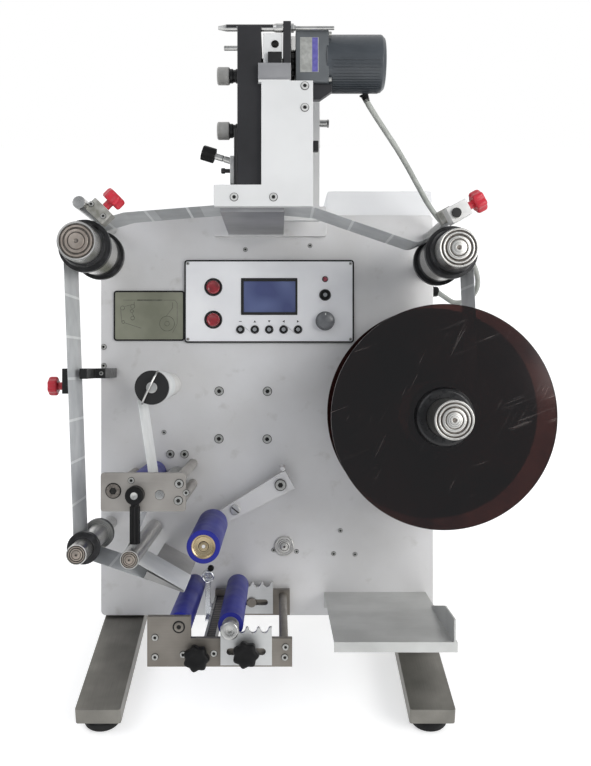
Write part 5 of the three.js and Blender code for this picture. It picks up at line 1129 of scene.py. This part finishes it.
zinc_plated = patterned("zinc_plated_screw", "#d2d2d0", 0.4, 0.5, mottled=(3, 3, "#c4c4c2", "#dcdcda"))
set_screws("coder_frame_screws", [(42.7, 620.2, 197), (42.7, 597, 197), (-33.1, 501, 197), (9.1, 501, 197)], 4, 1.1,
           zinc_plated)
set_screws("coder_bearing_screw", [(10.8, 668, 188)], 3.6, 1.6, blackened_steel_and_slot_shade)


def body_finish(x, w, z):
    """The two guide rods are bright; the body and its gear plate are black."""
    clear_of_body = x < -30.3 or -3.9 < x < 19.4 or x > 28.2
    return 1 if clear_of_body and (z > 682 or (x < -30.3 and z > 660)) else 0


eased_copy("coder_body_anodised", "coder_body", [black_enamel, stainless], "frame", 0.6,
           body_finish)
shaft_w, shaft_z = 151, 658.2
pin_axis = across(184.6, 686.5)
trim = bmesh.new()
for block in ((3, 18, 645.2, 658.4, 188.3, 193, 0.6), (-33.6, -29.9, 515.5, 576.5, 166, 189.6, 0.8),
              (51.7, 57.6, 551.5, 562.5, 184, 193.5, 0.8), (-38, -33.7, 517.2, 547.5, 171, 188, 0.6, 1),
              (28.3, 33, 664.5, 679.5, 174.5, 180, 0.3, 2), (-7.4, 27.8, 626.9, 644.9, 190.2, 197.4, 0.4, 3)):
    place_block(trim, *block)
fluted(trim, 22, 1.8, 18, 28.4, 32.7, across(shaft_w, shaft_z))
turn_on(trim, [(0, -48), (2.6, -48), (3.1, -46.5), (3.1, -44), (2.2, -43.6), (2.2, -37), (0, -37)],
        across(180, 532.5), 28, 0.3)
turn_on(trim, [(0, 28.2, 1), (5.2, 28.2), (5.2, 30.8), (3.4, 31.4), (3.4, 33), (0, 33)], pin_axis, 6, 0)
turn_on(trim, [(0, -3.9, 1), (4.8, 12), (4.8, 19.4), (0, 19.4)], pin_axis, 40, 0.4)
turn_on(trim, [(0, 74.2, 1), (5.2, 74.2), (5.2, 76.4), (4.6, 76.8), (0, 76.8)], across(45, 619), 6, 0)
finish_piece("coder_small_parts", trim, [glossy_abs, stainless, white_abs, platen_steel], "frame")

# Gearhead and motor: a die-cast gearhead and a motor in a ribbed grey case, both stove enamelled
gearhead_paint = patterned("grey_enamel_gearhead", "#585c5f", 0.42, mottled=(30, 3, "#53575a", "#5f6366"),
                           worn=(3, 3, 0.36, 0.5))
motor_paint = patterned("dark_enamel_motor", "#3b4045", 0.34, mottled=(40, 3, "#363b40", "#42474c"),
                        worn=(3, 3, 0.3, 0.42))
plate_silver = patterned("silver_foil_plate", "#a9aaa6", 0.4, 0.5, mottled=(5, 3, "#9d9e9a", "#b5b6b2"))
violet_print = patterned("violet_print_band", "#5a559c", 0.5, mottled=(4, 3, "#524d94", "#625da6"))
motor_start, motor_end, motor_radius = 69.3, 132.8, 31.4
eased_copy("geared_motor_case", "coder_motor", [gearhead_paint, motor_paint], "frame", 0.7,
           lambda x, w, z: 1 if x > motor_start + 0.2 else 0)
foil = bmesh.new()
place_block(foil, 38, 58.2, 640.2, 678.2, 179.9, 180.35, 0.1)
place_block(foil, 51.2, 57.4, 640.6, 677.8, 180.2, 180.45, 0, 1)
finish_piece("gearhead_foil_plate", foil, [plate_silver, violet_print], "frame")
set_screws("gearhead_corner_screws", [
    (motor_start, shaft_z + dz, shaft_w + dw) for dz in (-25, 25) for dw in (-25, 25)], 2.6, 3,
    facing=(0, math.pi / 2, 0))

rib_tree, given, result = growing_tree("motor_case_ribs", {
    "Rib Length": ("Float", 0.052), "Rib Width": ("Float", 0.0014), "Rib Height": ("Float", 0.0012),
    "Finish": ("Material", None)})
rib_size = add_node(rib_tree, "ShaderNodeCombineXYZ", links={
    "X": given["Rib Length"], "Y": given["Rib Width"], "Z": given["Rib Height"]})
rib = add_node(rib_tree, "GeometryNodeMeshCube", links={"Size": rib_size})
turned_by = add_node(rib_tree, "GeometryNodeInputNamedAttribute", {"data_type": "FLOAT_VECTOR", "Name": "turn"})
ribs = add_node(rib_tree, "GeometryNodeInstanceOnPoints", links={
    "Points": given["Geometry"], "Instance": rib, "Rotation": turned_by})
end_tree(rib_tree, ribs, given["Finish"], result)
rib_angles = [math.radians(-172 + 6 * k) for k in range(29)]      # from the back, round underneath, to the front
grown("motor_case_ribs", [
    on_face @ Vector(((motor_start + motor_end) / 2 - 1, motor_radius * math.cos(a) - shaft_w,
                      shaft_z + motor_radius * math.sin(a))) for a in rib_angles],
    rib_tree, {"Finish": motor_paint}, "frame", [(a - math.pi / 2 - lean, 0, 0) for a in rib_angles])

# Spools and knobs of the coder: grey knobs on black necks, a black ribbon roll between thin flanges
grey_knob = patterned("grey_moulded_knob", "#b3b2ae", 0.42, mottled=(12, 3, "#a9a8a4", "#bcbbb7"),
                      worn=(3, 3, 0.36, 0.5))
ribbon = patterned("black_print_ribbon", "#141416", 0.34, Specular_IOR_Level=0.5,
                   mottled=(8, 3, "#101012", "#1e1e21"))

spool_knob = [(0, -54.8, 1), (8.4, -54.8), (10, -53.4), (10, -41.8), (9.2, -40.8, 2), (8, -40.4), (8, -37),
              (7, -36.6), (7, -34), (8, -33.6), (8, -30.8), (4, -30.7, 3)]
spool_finishes = [ribbon, grey_knob, glossy_abs, stainless]
turned_piece("ribbon_tension_knob_turned", spool_finishes, "ribbon_tension_knob", "grey_plastic",
             ["ribbon_tension_knob"], ([*spool_knob, (4, -4.4), (0, -4.4)], across(140, 648), 56, 0.4))
turned_piece("ribbon_spool_wound", spool_finishes, "ribbon_spool", "grey_plastic", ["ribbon_spool"],
             ([*spool_knob, (4, -3.2), (0, -3.2)], across(140, 586), 56, 0.4), (
    [(0, -3.3, 2), (16, -3.3), (16, -1.8), (14.4, -1.6, 0), (14.4, 38.6), (16, 38.8, 2), (16, 40.4), (0, 40.4)],
    across(140, 586), 64, 0.2))
eased_copy("print_head_milled", "print_head", [spun_aluminium], "print_head", 0.4)
setting_axis = Matrix.Translation((-30, -160, 545)) @ Matrix.Rotation(math.radians(-73), 4, "Y")
setting = bmesh.new()
turn_on(setting, [(0, 1.5, 1), (3.5, 1.5), (3.5, 6), (3, 6.4), (3, 7.6), (3.5, 8), (3.5, 16), (3, 16.4), (3, 17.6),
                  (3.5, 18), (3.5, 27.2), (0, 27.2)], setting_axis, 32, 0.2)
fluted(setting, 8.4, 1.0, 8, 27.2, 42, setting_axis)
finish_piece("setting_knob_moulded", setting, [nylon, stainless], "setting_knob", ["setting_knob"])

# Clamps and label sensor. Steel rods stand over the upper idlers, each with a moulded clamp block and a red
# star knob. The sensor is a black fork over the web's rear edge, held by a third red knob.

clamp_grey = patterned("cast_zinc_clamp_block", "#a09f98", 0.42, 0.7, mottled=(9, 4, "#86857c", "#b3b2ad"),
                       worn=(2, 3, 0.34, 0.52))
red_abs = patterned("red_moulded_knob", "#bf2233", 0.34, mottled=(10, 3, "#b51f2e", "#c8283b"),
                    worn=(3, 3, 0.28, 0.42))


def off_rod(x, z, rod_x, rod_z, radius):
    """Whether a face's middle lies off a rod that stands out from the plate."""
    return math.hypot(x - rod_x, z - rod_z) > radius + 0.2


def left_clamp_finish(x, w, z):
    """The block is cast; the rod is steel."""
    return 1 if off_rod(x, z, -199, 495, 7) else 0


def right_clamp_finish(x, w, z):
    """The front block is white nylon, the lug behind it is cast, and the rod's end is black."""
    if 176.2 < w < 196.5:
        return 2
    if w > 163 and off_rod(x, z, 205, 484, 5.5):
        return 1
    return 3 if w > 199 else 0


def red_star_knob(name, head, place, turn, reach=0):
    """A six-lobed red knob whose axis is turned in the face's plane and starts at reach from its place."""
    knob = bmesh.new()
    star(knob, *head, 6, Matrix.Translation(place) @ Matrix.Rotation(math.radians(turn), 4, "Y")
         @ Matrix.Translation((0, 0, reach)))
    finish_piece(f"{name}_moulded", knob, [red_abs], name, [name], 40)


eased_copy("left_clamp_dressed", "left_clamp_rod", [stainless, clamp_grey], "frame", 0.8,
           left_clamp_finish)
eased_copy("right_clamp_dressed", "right_clamp_rod", [stainless, clamp_grey, white_abs, glossy_abs], "frame",
           0.8, right_clamp_finish)
set_screws("left_clamp_screws", [(-175.5, 482.5, 185), (-188.5, 495.5, 185)], 2.8, 1.6)
clamp_head = (12.4, 12.5, 4.5, 7)
red_star_knob("left_clamp_knob", clamp_head, (-181, -174, 488), 45, 8.3)
red_star_knob("right_clamp_knob", clamp_head, (208.6, -185, 486.6), 62, 12.3)
eased_copy("label_sensor_fork", "label_sensor", [glossy_abs], "frame", 0.7)
set_screws("label_sensor_screws", [(-211.5, 311, 80), (-197.5, 311, 80)], 2.4, 1.2)
red_star_knob("sensor_knob", (11, 11, 4.5, 7.5), (-233.88, -112, 296.5), -90)

# Motor cable. A grey PVC-sheathed lead that hangs from the motor and goes into the housing's right side; a
# ribbed boot and a nylon gland keep it from being bent at its ends.

cable_points = [Vector(p) for p in (
    (112, -140, 626), (115, -139, 619), (124, -132, 607), (137, -120, 592), (152, -106, 575), (168, -88, 556),
    (184, -68, 536), (200, -48, 517), (217, -32, 500), (236, -20, 482), (254, -11, 462), (267, -5, 440),
    (269, 0, 420), (259, 7, 405), (243, 14, 402), (229, 20, 411), (221, 24, 417), (213.4, 25, 417))]


def centripetal(points):
    """A smooth line through the points, with the knots spaced by the square root of the distance."""
    ends = [points[0] * 2 - points[1], *points, points[-1] * 2 - points[-2]]
    line, steps = [], 8
    for p0, p1, p2, p3 in zip(ends, ends[1:], ends[2:], ends[3:]):
        t1 = (p1 - p0).length ** 0.5
        t2 = t1 + (p2 - p1).length ** 0.5
        t3 = t2 + (p3 - p2).length ** 0.5
        for k in range(steps):
            t = t1 + (t2 - t1) * k / steps
            near, middle = p0.lerp(p1, t / t1), p1.lerp(p2, (t - t1) / (t2 - t1))
            far = p2.lerp(p3, (t - t2) / (t3 - t2))
            line.append(near.lerp(middle, t / t2).lerp(middle.lerp(far, (t - t1) / (t3 - t1)), (t - t1) / (t2 - t1)))
    return [*line, points[-1]]


sheath = patterned("grey_pvc_sheath", "#a3a6a1", 0.46, mottled=(14, 3, "#999c97", "#aeb1ac"), raised=(2, 2, 0.04))
cable_radius = 3.2
cable_line = centripetal(cable_points)
cable = bmesh.new()
lay_tube(cable, cable_line, cable_radius, 20)
motor_lead = finish_piece("motor_lead", cable, [sheath], "frame", ["motor_cable"], 40)
boot = bmesh.new()
boot_line = [cable_points[0].lerp(cable_points[1], (k - 3) / 11) for k in range(15)]
boot_shares = [1.0 if k < 3 else (0.9 if k % 2 else 0.76) - 0.018 * k for k in range(15)]
lay_tube(boot, boot_line, 5.6, 24, 0, boot_shares)
finish_piece("motor_lead_boot", boot, [rubber], "frame", crease=40)
gland_axis = Matrix.Translation((213.1, 25, 417)) @ Matrix.Rotation(math.pi / 2, 4, "Y")
turned_piece("motor_lead_gland", [nylon], "frame", "black_nylon", [],
             ([(3.4, 0), (8, 0), (8, 4), (3.4, 4), (3.4, 0)], gland_axis, 6, 0), (
    [(3.3, 3.9), (6.6, 3.9), (6.6, 8), (5.4, 10.4), (3.6, 11.2), (3.3, 11.2), (3.3, 3.9)], gland_axis, 40, 0.3))

# Studio. A pale sweep of floor, a soft overcast room and two large soft lamps; the camera stands where the
# photographer stood, square to the leaning plate.

floor_size = 12
floor_shape = bmesh.new()
bmesh.ops.create_grid(floor_shape, x_segments=1, y_segments=1, size=floor_size)
floor_mesh = bpy.data.meshes.new("studio_floor")
floor_shape.to_mesh(floor_mesh)
floor_shape.free()
studio_floor = bpy.data.objects.new("studio_floor", floor_mesh)
bpy.context.scene.collection.objects.link(studio_floor)
floor_paint, tree, shader = surface("matt_white_floor", "#e8e8e8", 0.9, Specular_IOR_Level=0.1)
# The floor is lit a little from itself where it is seen, so that it reads white and still holds the shadow
any_ray = ("Is Camera Ray", "Is Transmission Ray", "Is Glossy Ray")


def seen_by(tree, kinds):
    """1 for the kinds of ray that should see the white room, 0 for those that light the machine."""
    ray_kind = add_node(tree, "ShaderNodeLightPath")
    seen = ray_kind.outputs[kinds[0]]
    for kind in kinds[1:]:
        seen = add_node(tree, "ShaderNodeMath", {"operation": "MAXIMUM"}, {0: seen, 1: ray_kind.outputs[kind]})
    return seen


lit = add_node(tree, "ShaderNodeMath", {"operation": "MULTIPLY", 1: 0.5}, {0: seen_by(tree, any_ray)})
tree.links.new(lit.outputs[0], shader.inputs["Emission Strength"])
shader.inputs["Emission Color"].default_value = linear("#ffffff")
floor_mesh.materials.append(floor_paint)

world = bpy.data.worlds.new("overcast_room")
bpy.context.scene.world = world
world.use_nodes = True
sky = world.node_tree
height = add_node(sky, "ShaderNodeSeparateXYZ", links={0: add_node(sky, "ShaderNodeTexCoord").outputs["Generated"]})
depth = add_node(sky, "ShaderNodeMapRange", {"From Min": -0.35, "From Max": 0.35}, {"Value": height.outputs["Y"]})
room = add_node(sky, "ShaderNodeMix", {"data_type": "RGBA", 6: linear("#aeb1b5"), 7: linear("#ffffff")}, {0: depth})
# What stands behind the machine is white from every side; only the gloss sees the dim side of the room
backdrop = add_node(sky, "ShaderNodeMix", {"data_type": "RGBA", 7: linear("#ffffff")},
                    {0: seen_by(sky, any_ray[:2]), 6: room.outputs[2]})
sky.links.new(backdrop.outputs[2], sky.nodes["Background"].inputs["Color"])

lamps = {
    "key_lamp": ((1.7, -1.7, 1.3), 1.5, 33, "#fffdfa"),
    "fill_lamp": ((-1.2, -1.2, 2.0), 1.4, 9, "#fdfcff"),
    "window_lamp": (on_face @ Vector((1450, -2700, 760)), 1.0, 6, "#ffffff"),
}
aim = Vector((0, 0, 0.35))
for lamp_name, (spot, width, power, colour) in lamps.items():
    light = bpy.data.lights.new(lamp_name, "AREA")
    light.size = width
    light.energy = power
    light.color = linear(colour)[:3]
    lamp = bpy.data.objects.new(lamp_name, light)
    lamp.location = spot
    lamp.rotation_euler = (aim - Vector(spot)).to_track_quat("-Z", "Y").to_euler()
    bpy.context.scene.collection.objects.link(lamp)

lens = bpy.data.cameras.new("photo_camera")
lens.lens = 43.99
lens.sensor_width = 36
lens.shift_x = 0.0228
lens.shift_y = -0.0235
camera = bpy.data.objects.new("photo_camera", lens)
camera.location = on_face @ Vector((14, -1200, 321))
camera.rotation_euler = (math.pi / 2 - lean, 0, 0)
bpy.context.scene.collection.objects.link(camera)
bpy.context.scene.camera = camera
bpy.context.scene.view_settings.view_transform = "Standard"
